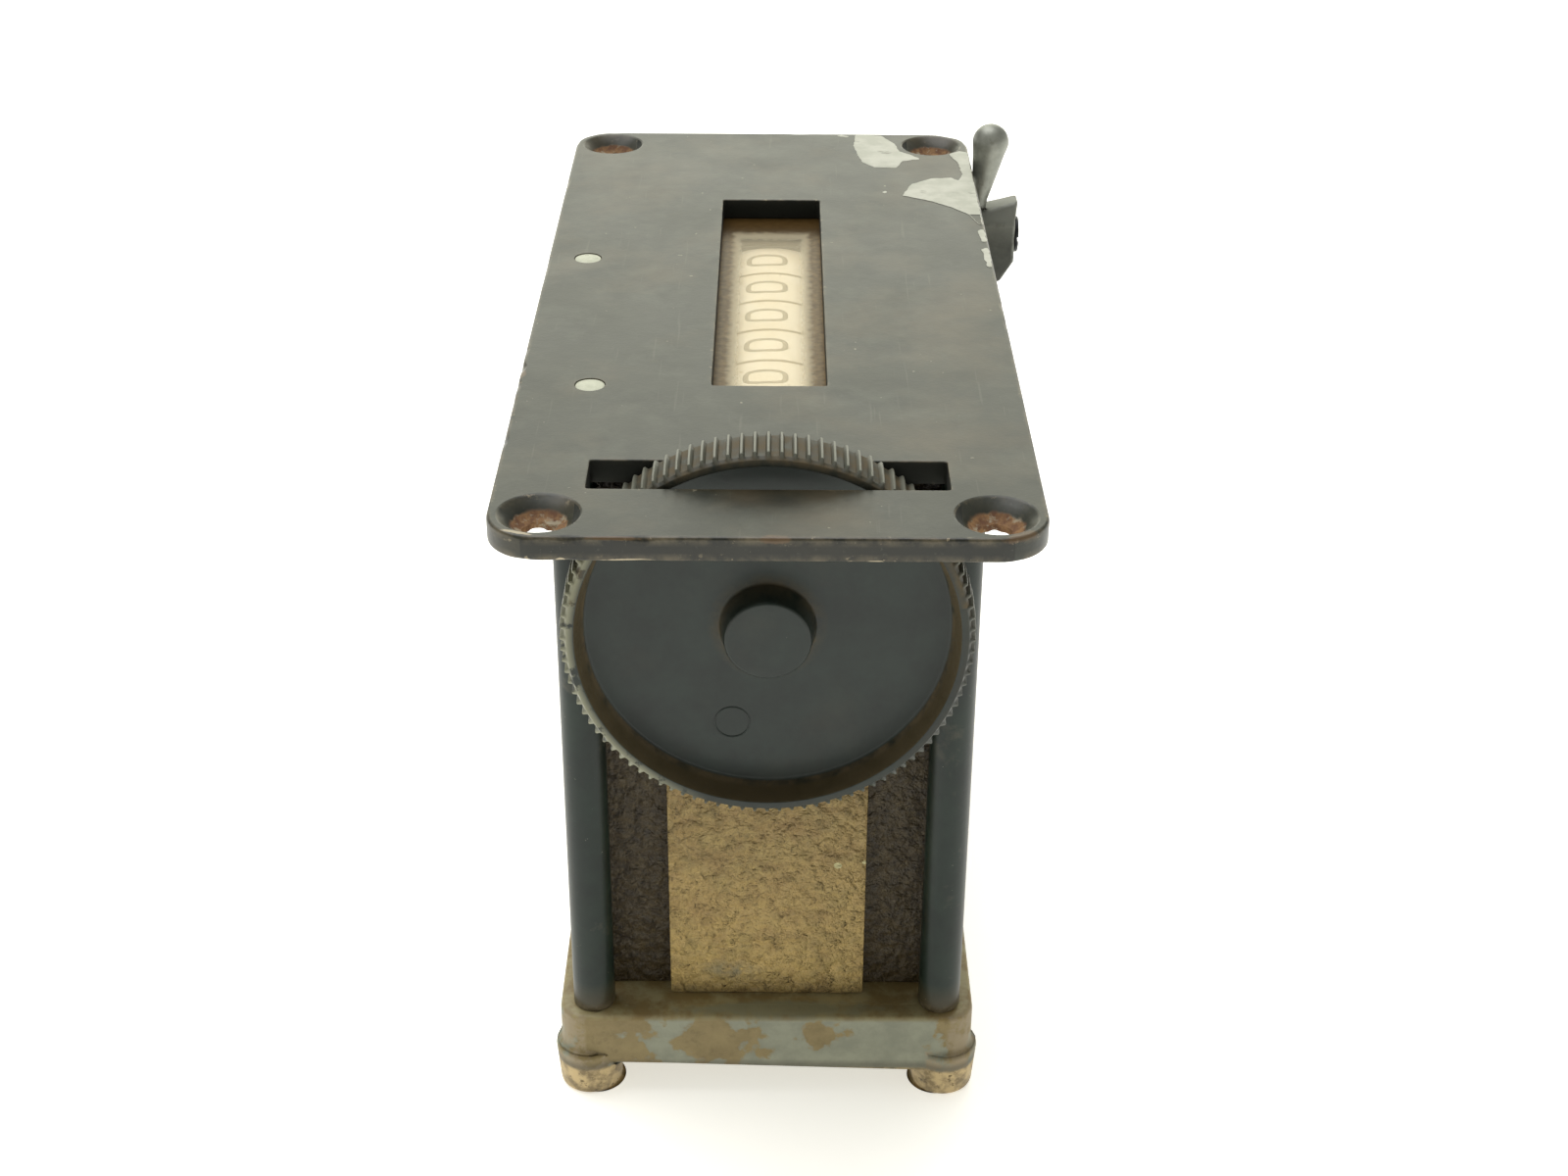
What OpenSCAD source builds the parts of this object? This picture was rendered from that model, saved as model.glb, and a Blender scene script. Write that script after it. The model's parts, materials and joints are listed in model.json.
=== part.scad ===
// Panel-mounted turnstile visitor counter: a five-figure ratchet counter with a reset thumbwheel.
// Frame: X across the plate, Y along the number shaft, Z up. The origin is the centre of the
// four panel screws, in the plane where the underside of the face plate meets the panel.

/* [Number wheels] */
// Number of figure wheels
digit_count = 5; // [5]
// Distance from one figure to the next along the shaft
digit_pitch = 8.5; // [7:0.1:10.5]
// Radius of the figure drum
digit_r = 12.9; // [12.4:0.1:15.6]
// Gap between neighbouring drums
drum_gap = 0.6; // [0.5:0.1:0.8]
// Thickness of the sheet that carries each transfer pinion
carrier_t = 0.4; // [0.3:0.05:0.4]
// Radius of the number shaft
shaft_r = 2; // [1.6:0.1:2.1]
// Radial running clearance of every shaft in its hole
run_gap = 0.05; // [0.03:0.01:0.08]

/* [Face plate] */
// Thickness of the face plate
plate_t = 2.4; // [2:0.1:4]
// Radius of the plate's corners
plate_corner_r = 4.8; // [3:0.1:7]
// How far the plate reaches past the base at each side
side_overhang = 2.9; // [2.4:0.1:6]
// How far the plate reaches past the base at each end
end_overhang = 15.05; // [13.5:0.05:20]
// Inset of the panel screws from the plate's edges
screw_inset = 4.75; // [4.2:0.05:5.5]
// Diameter of the panel screw holes
screw_hole_d = 4.3; // [3.6:0.1:5]
// Diameter of the countersink mouths
screw_sink_d = 7.6; // [6.5:0.1:8.2]
// Width of the window
window_w = 11.7; // [10:0.1:14]
// Glass left bare past the figures at each end of the window
window_margin = 6.4; // [5.6:0.1:6.8]
// Diameter of the flush blanking plugs
plug_d = 3.1; // [2:0.1:4]

/* [Window pane] */
// Thickness of the pane
pane_t = 0.9; // [0.6:0.1:1.5]
// Clearance from the pane down to the drums
pane_gap = 0.4; // [0.3:0.05:0.8]
// How far the pane reaches past the window on each side
pane_lap = 1; // [0.6:0.1:1.5]

/* [Reset wheel] */
// Outside radius over the knurl
reset_r = 20.05; // [17:0.05:24.5]
// Thickness of the wheel
reset_t = 4.93; // [4.2:0.01:6]
// Depth of the dish in its front
dish_depth = 3; // [2:0.1:3.4]
// Width of the rim round the dish
rim_w = 1.45; // [1.2:0.05:3]
// Number of knurl ridges
knurl_count = 100; // [60:120]
// Depth of the knurl
knurl_depth = 0.5; // [0.3:0.05:0.8]
// Radius of the centre boss
boss_r = 4.2; // [3.6:0.1:6]

/* [Body] */
// Height of the housing and pillars
body_h = 64.3; // [52:0.1:80]
// Room beside the drums inside the housing
side_room = 3.1; // [2.9:0.1:6]
// Room between the front wall and the mechanism
front_room = 9.5; // [5:0.1:16]
// Wall of the housing
wall_t = 2; // [1.5:0.1:3]
// Width of the proud panel on each end of the housing
panel_w = 21; // [16:0.1:24]
// How far the panels stand proud of the recessed walls
panel_proud = 1.95; // [1:0.05:2.4]
// Radius of the corner pillars
pillar_r = 2.25; // [1.9:0.05:2.8]

/* [Base] */
// Height of the base casting
base_t = 6.6; // [5.4:0.1:9]
// Height of the feet below the base
foot_h = 3.9; // [3:0.1:6]
// Radius of the feet
foot_r = 3.7; // [3.6:0.1:4.4]

/* [Drive] */
// Radius of the drive shaft
drive_r = 3; // [2.5:0.1:3.4]
// Number of ratchet teeth, one for each figure
ratchet_teeth = 10; // [10]
// Outside radius of the ratchet wheel
ratchet_r = 9.5; // [9:0.1:9.8]
// Thickness of the lever's end block
lever_t = 5; // [4:0.1:6]
// Radius of the finger's rounded tip
finger_r = 2.3; // [1.8:0.1:2.6]
// Height of the finger's tip above the face plate
finger_rise = 4.8; // [2:0.1:8]

/* [Hidden] */
$fn = 72;
eps = 0.01;

// Clearances and small parts
slot_side_gap = 0.52;
slot_end_gap = 2.7;
pillar_gap = 0.7;
pillar_offset = 0.8;
pillar_ledge = 0.9;
side_ledge = 1.45;
reset_gap = 0.8;
lever_gap = 1.8;
frame_t = 1.5;
frame_drop = 38.5;
frame_side_gap = 0.5;
retainer_t = 1.5;
retainer_w = 2.15;
retainer_end_w = 1.3;
pane_fit = 0.05;
spacer_r = 1.6;
spacer_inset = 2.3;
tail_r = 1;

// Along the shaft, from the front wall to the rear wall
front_gap = 5.25;
ratchet_gap = 0.15;
ratchet_t = 2.2;
driver_gap = 0.8;
driver_t = 2;
flange_t = 0.8;
rear_gap = 1.1;
rear_clear = 0.7;
figures_l = digit_count * digit_pitch;
rear_stack = ratchet_gap + ratchet_t + driver_gap + driver_t + rear_gap + flange_t + frame_t + rear_clear;
room_l = front_room + frame_t + front_gap + figures_l + rear_stack;
front_wall_y = -room_l / 2;
front_frame_y = front_wall_y + front_room;
figures_y = front_frame_y + frame_t + front_gap;
ratchet_y = figures_y + figures_l + ratchet_gap;
driver_y = ratchet_y + ratchet_t + driver_gap;
rear_flange_y = driver_y + driver_t + rear_gap;
rear_frame_y = rear_flange_y + flange_t;

// Across and up
axis_z = -(pane_t + pane_gap + digit_r);
room_w = 2 * (digit_r + side_room);
housing_w = room_w + 2 * wall_t;
housing_l = room_l + 2 * wall_t;
pillar_x = housing_w / 2 + pillar_offset;
pillar_y = housing_l / 2 + pillar_gap + pillar_r;
base_w = 2 * (pillar_x + pillar_r + side_ledge);
base_l = 2 * (pillar_y + pillar_r + pillar_ledge);
base_corner_r = 3;
plate_w = base_w + 2 * side_overhang;
plate_l = base_l + 2 * end_overhang;
screw_x = plate_w / 2 - screw_inset;
screw_y = plate_l / 2 - screw_inset;
window_y = figures_y + figures_l / 2;
window_l = figures_l + 2 * window_margin;
side_panel_l = housing_l - 14;

// Reset wheel
reset_back_y = -(pillar_y + pillar_r + reset_gap);
reset_front_y = reset_back_y - reset_t;
slot_w = reset_t + 2 * slot_side_gap;
slot_l = 2 * (sqrt(reset_r * reset_r - axis_z * axis_z) + slot_end_gap);
dish_r = reset_r - rim_w;
dish_draft = 0.75;
boss_draft = 0.5;
reset_hub_r = 6;
reset_hub_l = 3.1;
grub_r = 1;
clip_r = 3.6;
clip_t = 0.5;
bush_r = shaft_r + 1.4;
bush_flange_r = bush_r + 1.8;
bush_flange_t = 1;

// Drums and transfer gears
drum_l = digit_pitch - drum_gap;
drum_wall = 1.6;
hub_wall = 0.75;
hub_r = shaft_r + run_gap + hub_wall;
hub_end_gap = 0.05;
web_t = 1.4;
gear_teeth = 20;
pinion_teeth = 6;
gear_root_r = digit_r - drum_wall;
module_mm = gear_root_r / (gear_teeth / 2 + 1.3);
pinion_drop = module_mm * (gear_teeth - pinion_teeth) / 2;
neck_r = 1.7 * module_mm;
carry_l = 0.7;
carry_gap = 0.25;
rail_r = 1.4;
rail_drop = digit_r + rail_r + 1.2;
rail_lug_r = rail_r + 1.4;

// Drive
pivot_r = 11.8;
pivot_angle = 200;
pin_r = 1.2;
arm_end_r = 2.2;
pilot_wall = 2.2;
pilot_r = shaft_r + pilot_wall;
pilot_l = 2.7;
lever_y = base_l / 2 + lever_gap;
lever_hub_r = 6.5;
lever_travel = 45;
finger_gap = 0.15;
finger_x = plate_w / 2 + finger_gap + finger_r;
finger_z = plate_t + finger_rise - finger_r;
block_top_z = -2.4;
block_h = 10.8;
block_w = 5.4;
finger_lean = 8;
stop_angle = 18.5;
hold_pivot = [8.2, axis_z - 13.6];
spring_wire_r = 0.4;
spring_turns = 4;

// ---- Helpers ----

// A cylinder along Y from y0 to y1
module rod(y0, y1, r, x = 0, z = axis_z) {
    translate([x, y0, z]) rotate([-90, 0, 0]) cylinder(h = y1 - y0, r = r);
}

// An outline drawn in X and Z, extruded from y0 to y1
module slab(y0, y1) {
    translate([0, y1, 0]) rotate([90, 0, 0]) linear_extrude(y1 - y0) children();
}

// A slab of height h with round upright corners, standing on Z = 0
module rounded(w, l, h, r) {
    union() {
        translate([r - w / 2, -l / 2, 0]) cube([w - 2 * r, l, h]);
        translate([-w / 2, r - l / 2, 0]) cube([w, l - 2 * r, h]);
        for (sx = [-1, 1], sy = [-1, 1])
            translate([sx * (w / 2 - r), sy * (l / 2 - r), 0]) cylinder(h = h, r = r);
    }
}

// A flat link with round ends from point a to point b, between y0 and y1
module link(y0, y1, a, b, ra, rb) {
    d = b - a;
    u = 0.95 * [-d.y, d.x] / norm(d);
    union() {
        rod(y0, y1, ra, a.x, a.y);
        rod(y0, y1, rb, b.x, b.y);
        slab(y0, y1) polygon([a + u * ra, b + u * rb, b - u * rb, a - u * ra]);
    }
}

// A point at radius r and angle a round the shaft axis
function polar(r, a) = [r * cos(a), axis_z + r * sin(a)];

// Outline of n straight-sided teeth: each tooth has a root and a tip width
function gear_points(n, root_r, tip_r, root_w, tip_w) = [
    for (i = [0 : n - 1], k = [0 : 3])
        let (
            r = (k == 0 || k == 3) ? root_r : tip_r,
            half = ((k == 0 || k == 3) ? root_w : tip_w) / 2 * (k < 2 ? 1 : -1),
            a = 270 + i * 360 / n
        )
        r * [cos(a), sin(a)] + half * [sin(a), -cos(a)]
];

// Centre of figure wheel i along Y, with 1 for the units at the far end
function wheel_y(i) = figures_y + figures_l - (i - 0.5) * digit_pitch;

// Middle of the gap between figure wheel i and the next higher one
function gap_y(i) = wheel_y(i) - digit_pitch / 2;

// ---- Face plate and window ----

module face_plate() {
    color("#4a4b46") difference() {
        rounded(plate_w, plate_l, plate_t, plate_corner_r);
        translate([-window_w / 2, window_y - window_l / 2, -1]) cube([window_w, window_l, plate_t + 2]);
        translate([-slot_l / 2, (reset_front_y + reset_back_y - slot_w) / 2, -1])
            cube([slot_l, slot_w, plate_t + 2]);
        for (sx = [-1, 1], sy = [-1, 1]) translate([sx * screw_x, sy * screw_y, 0]) screw_hole();
        for (sx = [-1, 1], sy = [-1, 1]) translate([sx * pillar_x, sy * pillar_y, -1])
            cylinder(h = 1 + spigot_l, r = spigot_r);
        for (p = plug_places) translate([p.x, p.y, -1]) cylinder(h = plate_t + 2, d = plug_d);
    }
}

spigot_l = 1.5;
spigot_r = 1.5;
plug_places = [[-plate_w / 2 + 7.3, window_y - window_l / 2], [-plate_w / 2 + 4.5, window_y + 7.7]];

module screw_hole() {
    sink_h = (screw_sink_d - screw_hole_d) / 2;
    translate([0, 0, -1]) cylinder(h = plate_t + 2, d = screw_hole_d);
    translate([0, 0, plate_t - sink_h])
        cylinder(h = sink_h + 0.5, d1 = screw_hole_d, d2 = screw_sink_d + 1);
}

module blanking_plugs() {
    color("#b9bba8") for (p = plug_places)
        translate([p.x, p.y, 0]) cylinder(h = plate_t, d = plug_d);
}

pane_w = window_w + 2 * pane_lap;
pane_l = window_l + 2 * pane_lap;

module window_pane() {
    color("#e8d9a8") translate([-pane_w / 2, window_y - pane_l / 2, -pane_t]) cube([pane_w, pane_l, pane_t]);
}

module pane_retainer() {
    pocket_w = pane_w + 2 * pane_fit;
    pocket_l = pane_l + 2 * pane_fit;
    open_w = window_w + 0.3;
    open_l = window_l + 0.3;
    color("#6d6250") translate([0, window_y, 0]) difference() {
        translate([0, 0, -retainer_t / 2])
            cube([pocket_w + 2 * retainer_w, pocket_l + 2 * retainer_end_w, retainer_t], center = true);
        translate([0, 0, 0.5 - pane_t / 2]) cube([pocket_w, pocket_l, pane_t + 1], center = true);
        cube([open_w, open_l, 3 * retainer_t], center = true);
    }
}

// ---- Pillars, housing and base ----

screw_r = 1.45;
tap_r = 1.5;
tap_l = 12;

module pillar(sx, sy) {
    color("#2f3a41") translate([sx * pillar_x, sy * pillar_y, 0]) difference() {
        union() {
            translate([0, 0, -body_h]) cylinder(h = body_h, r = pillar_r);
            cylinder(h = spigot_l, r = spigot_r);
        }
        translate([0, 0, -body_h - 1]) cylinder(h = tap_l + 1, r = tap_r);
    }
}

module housing() {
    color("#8f7a50") translate([0, 0, -body_h]) difference() {
        union() {
            translate([-housing_w / 2, -housing_l / 2, 0]) cube([housing_w, housing_l, body_h]);
            translate([-panel_w / 2, -housing_l / 2 - panel_proud, 0])
                cube([panel_w, housing_l + 2 * panel_proud, body_h]);
            translate([-housing_w / 2 - panel_proud, -side_panel_l / 2, 0])
                cube([housing_w + 2 * panel_proud, side_panel_l, body_h]);
        }
        difference() {
            translate([-room_w / 2, -room_l / 2, -1]) cube([room_w, room_l, body_h + 2]);
            for (sx = [-1, 1]) translate([sx * (room_w / 2 - rail_ledge / 2), 0, ledge_z + body_h])
                cube([rail_ledge, room_l, ledge_t], center = true);
        }
        translate([0, 0, body_h]) {
            rod(-housing_l, 0, shaft_hole_r);
            rod(0, housing_l, drive_r + 0.4);
        }
        translate([spring_post_x, 0, body_h + axis_z + spring_post_z])
            rotate([-90, 0, 0]) cylinder(h = housing_l, r = tail_r);
    }
}

rail_ledge = 4;
ledge_t = 2;
ledge_z = -retainer_t - frame_drop - ledge_t / 2;
shaft_hole_r = shaft_r + 0.9;

module base() {
    pocket_h = base_t - 2.2;
    rib_t = 2;
    top_z = -body_h;
    color("#7d8478") difference() {
        union() {
            translate([0, 0, top_z - base_t]) rounded(base_w, base_l, base_t, base_corner_r);
            for (sx = [-1, 1], sy = [-1, 1]) translate([sx * foot_x, sy * foot_y, top_z - base_t - foot_h])
                cylinder(h = foot_h + base_t / 4, r = foot_r);
        }
        for (sy = [-1, 1]) translate([0, sy * (pocket_l + rib_t) / 2, top_z - base_t])
            cube([pocket_w, pocket_l, 2 * pocket_h], center = true);
        for (sx = [-1, 1], sy = [-1, 1]) translate([sx * pillar_x, sy * pillar_y, 0]) {
            translate([0, 0, top_z - base_t - foot_h - 1]) cylinder(h = base_t + foot_h + 2, r = tap_r + 0.1);
            translate([0, 0, top_z - base_t - foot_h - 1]) cylinder(h = head_h + 1.5, r = head_r + 0.1);
        }
    }
}

foot_x = pillar_x + 0.7;
foot_y = pillar_y + 0.25;
pocket_w = base_w - 17;
pocket_l = base_l / 2 - 11;
head_r = 2.5;
head_h = 2;

module base_screws() {
    seat_z = -body_h - base_t - foot_h + head_h + 0.5;
    color("#8a8678") for (sx = [-1, 1], sy = [-1, 1]) translate([sx * pillar_x, sy * pillar_y, 0])
        difference() {
            union() {
                translate([0, 0, seat_z - head_h]) cylinder(h = head_h, r = head_r);
                translate([0, 0, seat_z - eps])
                    cylinder(h = tap_l - 1.5 - body_h - seat_z, r = screw_r);
            }
            translate([0, 0, seat_z - head_h]) cube([3 * head_r, 0.8, 2], center = true);
        }
}

// ---- Mechanism frame ----

frame_w = room_w - 2 * frame_side_gap;
frame_top_z = -retainer_t;
spacer_places = [
    for (sx = [-1, 1], z = [frame_top_z - spacer_inset - 1.2, frame_top_z - frame_drop + spacer_inset + 1])
        [sx * (frame_w / 2 - spacer_inset), z]
];

module frame_plate(y0, bush_hole_r, extra) {
    color("#9a9a90") difference() {
        translate([-frame_w / 2, y0, frame_top_z - frame_drop]) cube([frame_w, frame_t, frame_drop]);
        rod(y0 - 1, y0 + frame_t + 1, bush_hole_r);
        for (p = spacer_places) rod(y0 - 1, y0 + frame_t + 1, tail_r, p.x, p.y);
        rod(y0 - 1, y0 + frame_t + 1, tail_r, 0, axis_z - rail_drop);
        for (p = extra) rod(y0 - 1, y0 + frame_t + 1, tail_r, p.x, p.y);
    }
}

module front_frame_plate() { frame_plate(front_frame_y, bush_r, []); }

module rear_frame_plate() { frame_plate(rear_frame_y, drive_r + 1.4, concat(stop_places, [hold_pivot])); }

module spacer(x, z, r) {
    rod(front_frame_y + frame_t, rear_frame_y, r, x, z);
    rod(front_frame_y, rear_frame_y + frame_t, tail_r, x, z);
}

module frame_spacers() {
    color("#8d8f8a") for (p = spacer_places) spacer(p.x, p.y, spacer_r);
}

module carrier_rail() {
    color("#8d8f8a") spacer(0, axis_z - rail_drop, rail_r);
}

module front_bush() {
    color("#a8894c") difference() {
        union() {
            rod(front_frame_y - bush_flange_t, front_frame_y, bush_flange_r);
            rod(front_frame_y - eps, figures_y - drum_gap / 2, bush_r);
        }
        rod(front_frame_y - 3, figures_y + 1, shaft_r + run_gap);
    }
}

module rear_bush() {
    color("#a8894c") difference() {
        union() {
            rod(rear_flange_y, rear_frame_y, drive_r + 3);
            rod(rear_frame_y - eps, rear_frame_y + frame_t + 0.3, drive_r + 1.4);
        }
        rod(rear_flange_y - 1, rear_frame_y + frame_t + 2, drive_r + run_gap);
    }
}

stop_places = [for (a = [stop_angle, -lever_travel - stop_angle]) polar(pivot_r, pivot_angle + a)];

// A stud riveted in the rear frame plate, reaching forward to y0
module stud(p, y0) {
    rod(y0, rear_frame_y, pin_r, p.x, p.y);
    rod(y0, rear_frame_y + frame_t, tail_r, p.x, p.y);
}

module stop_studs() {
    color("#8d8f8a") for (p = stop_places) stud(p, driver_y);
}

module holding_pawl_stud() {
    color("#8d8f8a") stud(hold_pivot, ratchet_y - 0.3);
}

// ---- Reset wheel and number shaft ----

function knurl_points() = gear_points(knurl_count, reset_r - knurl_depth, reset_r, 0.62, 0.36);

module reset_wheel() {
    floor_y = reset_front_y + dish_depth;
    color("#33383b") difference() {
        union() {
            slab(reset_front_y + 0.35, reset_back_y) translate([0, axis_z]) polygon(knurl_points());
            translate([0, reset_front_y, axis_z]) rotate([-90, 0, 0])
                cylinder(h = 0.36, r1 = reset_r - knurl_depth - 0.25, r2 = reset_r - knurl_depth);
            rod(reset_back_y - eps, reset_back_y + reset_hub_l, reset_hub_r);
        }
        difference() {
            translate([0, reset_front_y - eps, axis_z]) rotate([-90, 0, 0])
                cylinder(h = dish_depth + eps, r1 = dish_r, r2 = dish_r - dish_draft);
            translate([0, reset_front_y, axis_z]) rotate([-90, 0, 0])
                cylinder(h = dish_depth + 1, r1 = boss_r, r2 = boss_r + boss_draft);
        }
        rod(reset_front_y + 1.5, reset_back_y + reset_hub_l + 1, shaft_r);
        translate([0, reset_back_y + reset_hub_l / 2, axis_z]) rotate([180, 0, 0])
            cylinder(h = reset_hub_r + 1, r = grub_r);
    }
}

module grub_screw(y, length, start_r) {
    translate([0, y, axis_z]) rotate([180, 0, 0]) translate([0, 0, start_r]) difference() {
        cylinder(h = length, r = grub_r);
        translate([0, 0, length]) cube([3 * grub_r, 0.5, 1], center = true);
    }
}

module reset_grub_screw() {
    color("#5b5a52") grub_screw(reset_back_y + reset_hub_l / 2, 3.6, shaft_r);
}

shaft_end_y = driver_y + pilot_l - 0.3;
groove_w = 0.8;
groove_d = 0.5;

module number_shaft() {
    color("#a3a297") difference() {
        rod(reset_front_y + 1.5, shaft_end_y, shaft_r);
        translate([-groove_w / 2, figures_y, axis_z - shaft_r - 1])
            cube([groove_w, figures_l, 1 + groove_d]);
        difference() {
            rod(clip_y, clip_y + clip_t, shaft_r + 1);
            rod(clip_y - 1, clip_y + clip_t + 1, shaft_r - 0.3);
        }
    }
}

clip_y = front_frame_y - bush_flange_t - clip_t - 0.1;

module shaft_clip() {
    color("#6c6a60") difference() {
        rod(clip_y, clip_y + clip_t, clip_r);
        rod(clip_y - 1, clip_y + clip_t + 1, shaft_r - 0.3);
        translate([-0.9, clip_y - 1, axis_z]) cube([1.8, clip_t + 2, clip_r + 1]);
    }
}

// ---- Figure wheels and transfer gears ----

// Space between the internal teeth, drawn as one outline
function ring_points() = gear_points(gear_teeth, tooth_tip_r, gear_root_r, tip_space, root_space);

tooth_tip_r = module_mm * 9.2;
tip_space = module_mm * 2.35;
root_space = module_mm * 1.45;

module digit_wheel(i) {
    y = wheel_y(i);
    color("#e6d9b8") difference() {
        union() {
            difference() {
                rod(y - drum_l / 2, y + drum_l / 2, digit_r);
                rod(y - drum_l / 2 - 1, y - web_t / 2, gear_root_r);
                if (i == 1) rod(y + web_t / 2, y + drum_l, gear_root_r);
                else slab(y + web_t / 2, y + drum_l) translate([0, axis_z]) polygon(ring_points());
            }
            rod(y - digit_pitch / 2 + hub_end_gap, y + digit_pitch / 2 - hub_end_gap, hub_r);
            carry_teeth(i);
        }
        rod(y - digit_pitch, y + digit_pitch, shaft_r + run_gap);
        translate([-spring_slot_w / 2, y - web_t / 2 - spring_l - 0.1, axis_z])
            cube([spring_slot_w, spring_l + 0.1, hub_r + 1]);
    }
}

spring_slot_w = 1.2;
spring_l = 1.2;
spring_t = 0.4;

// The two teeth that carry one to the next wheel; the highest wheel has none
module carry_teeth(i) {
    y = wheel_y(i);
    end_y = gap_y(i) + drum_gap / 2 + carry_l + carry_gap;
    if (i < digit_count) intersection() {
        difference() {
            rod(end_y, y, gear_root_r + drum_wall / 2);
            rod(end_y - 1, y + 1, tooth_tip_r);
        }
        for (a = [243, 261]) translate([0, y, axis_z]) rotate([0, -a, 0])
            translate([digit_r / 2, 0, 0]) cube([digit_r, 2 * digit_pitch, 1.5 * module_mm], center = true);
    }
}

// Leaf spring whose tip drops in the shaft's groove when the shaft is turned back
module reset_spring(i) {
    y = wheel_y(i) - web_t / 2;
    lift = shaft_r + 0.3;
    color("#b8a878") slab(y - spring_l + 0.2, y) translate([0, axis_z]) union() {
        translate([-spring_t / 2, lift]) square([spring_t, 5]);
        translate([-spring_t / 2, lift + 5 - spring_t]) square([4, spring_t]);
    }
}

module pinion_carrier(i) {
    y = gap_y(i);
    color("#8f938f") difference() {
        union() {
            rod(y - carrier_t / 2, y + carrier_t / 2, digit_r - 0.6);
            link(y - carrier_t / 2, y + carrier_t / 2, [0, axis_z], [0, axis_z - rail_drop], 5, rail_lug_r);
        }
        rod(y - 1, y + 1, hub_r + 0.3);
        rod(y - 1, y + 1, rail_r, 0, axis_z - rail_drop);
        rod(y - 1, y + 1, neck_r + run_gap, 0, axis_z - pinion_drop);
    }
}

module transfer_pinion(i) {
    y = gap_y(i);
    points = gear_points(pinion_teeth, module_mm * 1.8, module_mm * 3.8, module_mm * 1.6, module_mm * 0.55);
    color("#b59a58") {
        slab(y - digit_pitch / 2 + web_t / 2 + 0.3, y - drum_gap / 2)
            translate([0, axis_z - pinion_drop]) polygon(points);
        rod(y - drum_gap / 2 - eps, y + drum_gap / 2 + eps, neck_r, 0, axis_z - pinion_drop);
        slab(y + drum_gap / 2, y + drum_gap / 2 + carry_l)
            translate([0, axis_z - pinion_drop]) polygon(points);
    }
}

// ---- Ratchet and drive ----

ratchet_depth = 1.7;

// Saw teeth whose steep faces are pushed round from +Z towards +X
function ratchet_points() = [
    for (i = [0 : ratchet_teeth - 1], k = [0 : 1])
        let (a = ratchet_phase + i * 360 / ratchet_teeth)
        (k == 0 ? ratchet_r - ratchet_depth : ratchet_r) * [cos(a), sin(a)]
];
ratchet_phase = 12;

module ratchet_wheel() {
    y = wheel_y(1);
    color("#8c8a80") difference() {
        union() {
            slab(ratchet_y, ratchet_y + ratchet_t) translate([0, axis_z]) polygon(ratchet_points());
            rod(y + web_t / 2, ratchet_y + eps, hub_r + 2.6);
        }
        rod(y, y + digit_pitch / 2, hub_r);
        rod(y, ratchet_y + ratchet_t + 1, shaft_r + run_gap);
    }
}

// A cranked pawl from its tail through its pivot and knee to a nose that stands just off the ratchet
module pawl(tail, pivot, knee, nose) {
    y0 = ratchet_y + 0.1;
    y1 = ratchet_y + ratchet_t - 0.1;
    difference() {
        union() {
            link(y0, y1, pivot, knee, pin_r + 1, knee_r);
            link(y0, y1, knee, nose, knee_r, 0.45);
            link(y0, y1, pivot, tail, pin_r + 0.7, 0.7);
        }
        rod(y0 - 1, y1 + 1, pin_r + run_gap, pivot.x, pivot.y);
    }
}

knee_r = 1.25;
nose_r = ratchet_r + 0.6;

module holding_pawl() {
    color("#77756a")
        pawl(hold_pivot + [-4.2, -1.6], hold_pivot, polar(ratchet_r + 3.2, -43), polar(nose_r, -28));
}

drive_pivot = polar(pivot_r, pivot_angle);

module drive_pawl() {
    color("#77756a") pawl(drive_pivot + [0.6, -3.4], drive_pivot, polar(ratchet_r + 1.9, pivot_angle - 18),
        polar(nose_r, pivot_angle - 33));
}

module drive_pawl_stud() {
    color("#8d8f8a") {
        rod(ratchet_y - 0.2, driver_y, pin_r, drive_pivot.x, drive_pivot.y);
        rod(ratchet_y - 0.2, driver_y + driver_t, tail_r, drive_pivot.x, drive_pivot.y);
    }
}

module driver_plate() {
    color("#9a9a90") difference() {
        link(driver_y, driver_y + driver_t, [0, axis_z], drive_pivot, pilot_r + 2, arm_end_r);
        rod(driver_y - 1, driver_y + driver_t + 1, pilot_r);
        rod(driver_y - 1, driver_y + driver_t + 1, tail_r, drive_pivot.x, drive_pivot.y);
    }
}

module drive_shaft() {
    color("#a3a297") difference() {
        union() {
            rod(driver_y - 0.2, rear_flange_y - 0.1, pilot_r);
            rod(driver_y, lever_y + lever_t, drive_r);
        }
        rod(driver_y - 1, driver_y + pilot_l, shaft_r + run_gap);
    }
}

// ---- Lever ----

block_x = finger_x - 1.55;
block_mid_z = block_top_z - block_h / 2;
clamp_z = block_mid_z + 0.4;
head_x = block_x + block_w - 0.3;
slope_h = 3;
slope_t = 2.4;
shank_sink = 3;

// Runs a shape drawn up the Z axis along the finger, from the clamp screw to the tip
module on_finger() {
    translate([finger_foot_x, lever_y + lever_t / 2, clamp_z])
        rotate([0, finger_lean, 0]) children();
}

finger_l = (finger_z - clamp_z) / cos(finger_lean);
shank_l = block_top_z - clamp_z;
finger_foot_x = finger_x - (finger_z - clamp_z) * tan(finger_lean);

// Outline of the end block with its raised ear
function block_points() = [
    [block_x - 3, block_top_z - 3.2], [block_x + 0.2, block_top_z - 1.7],
    [block_x + 2.8, block_top_z - 1.1], [block_x + block_w + 0.1, block_top_z - 0.4],
    [head_x, block_top_z - 2.6], [head_x, block_top_z - 8],
    [block_x + block_w - 2, block_top_z - block_h], [block_x - 3, block_top_z - block_h]
];

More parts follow.
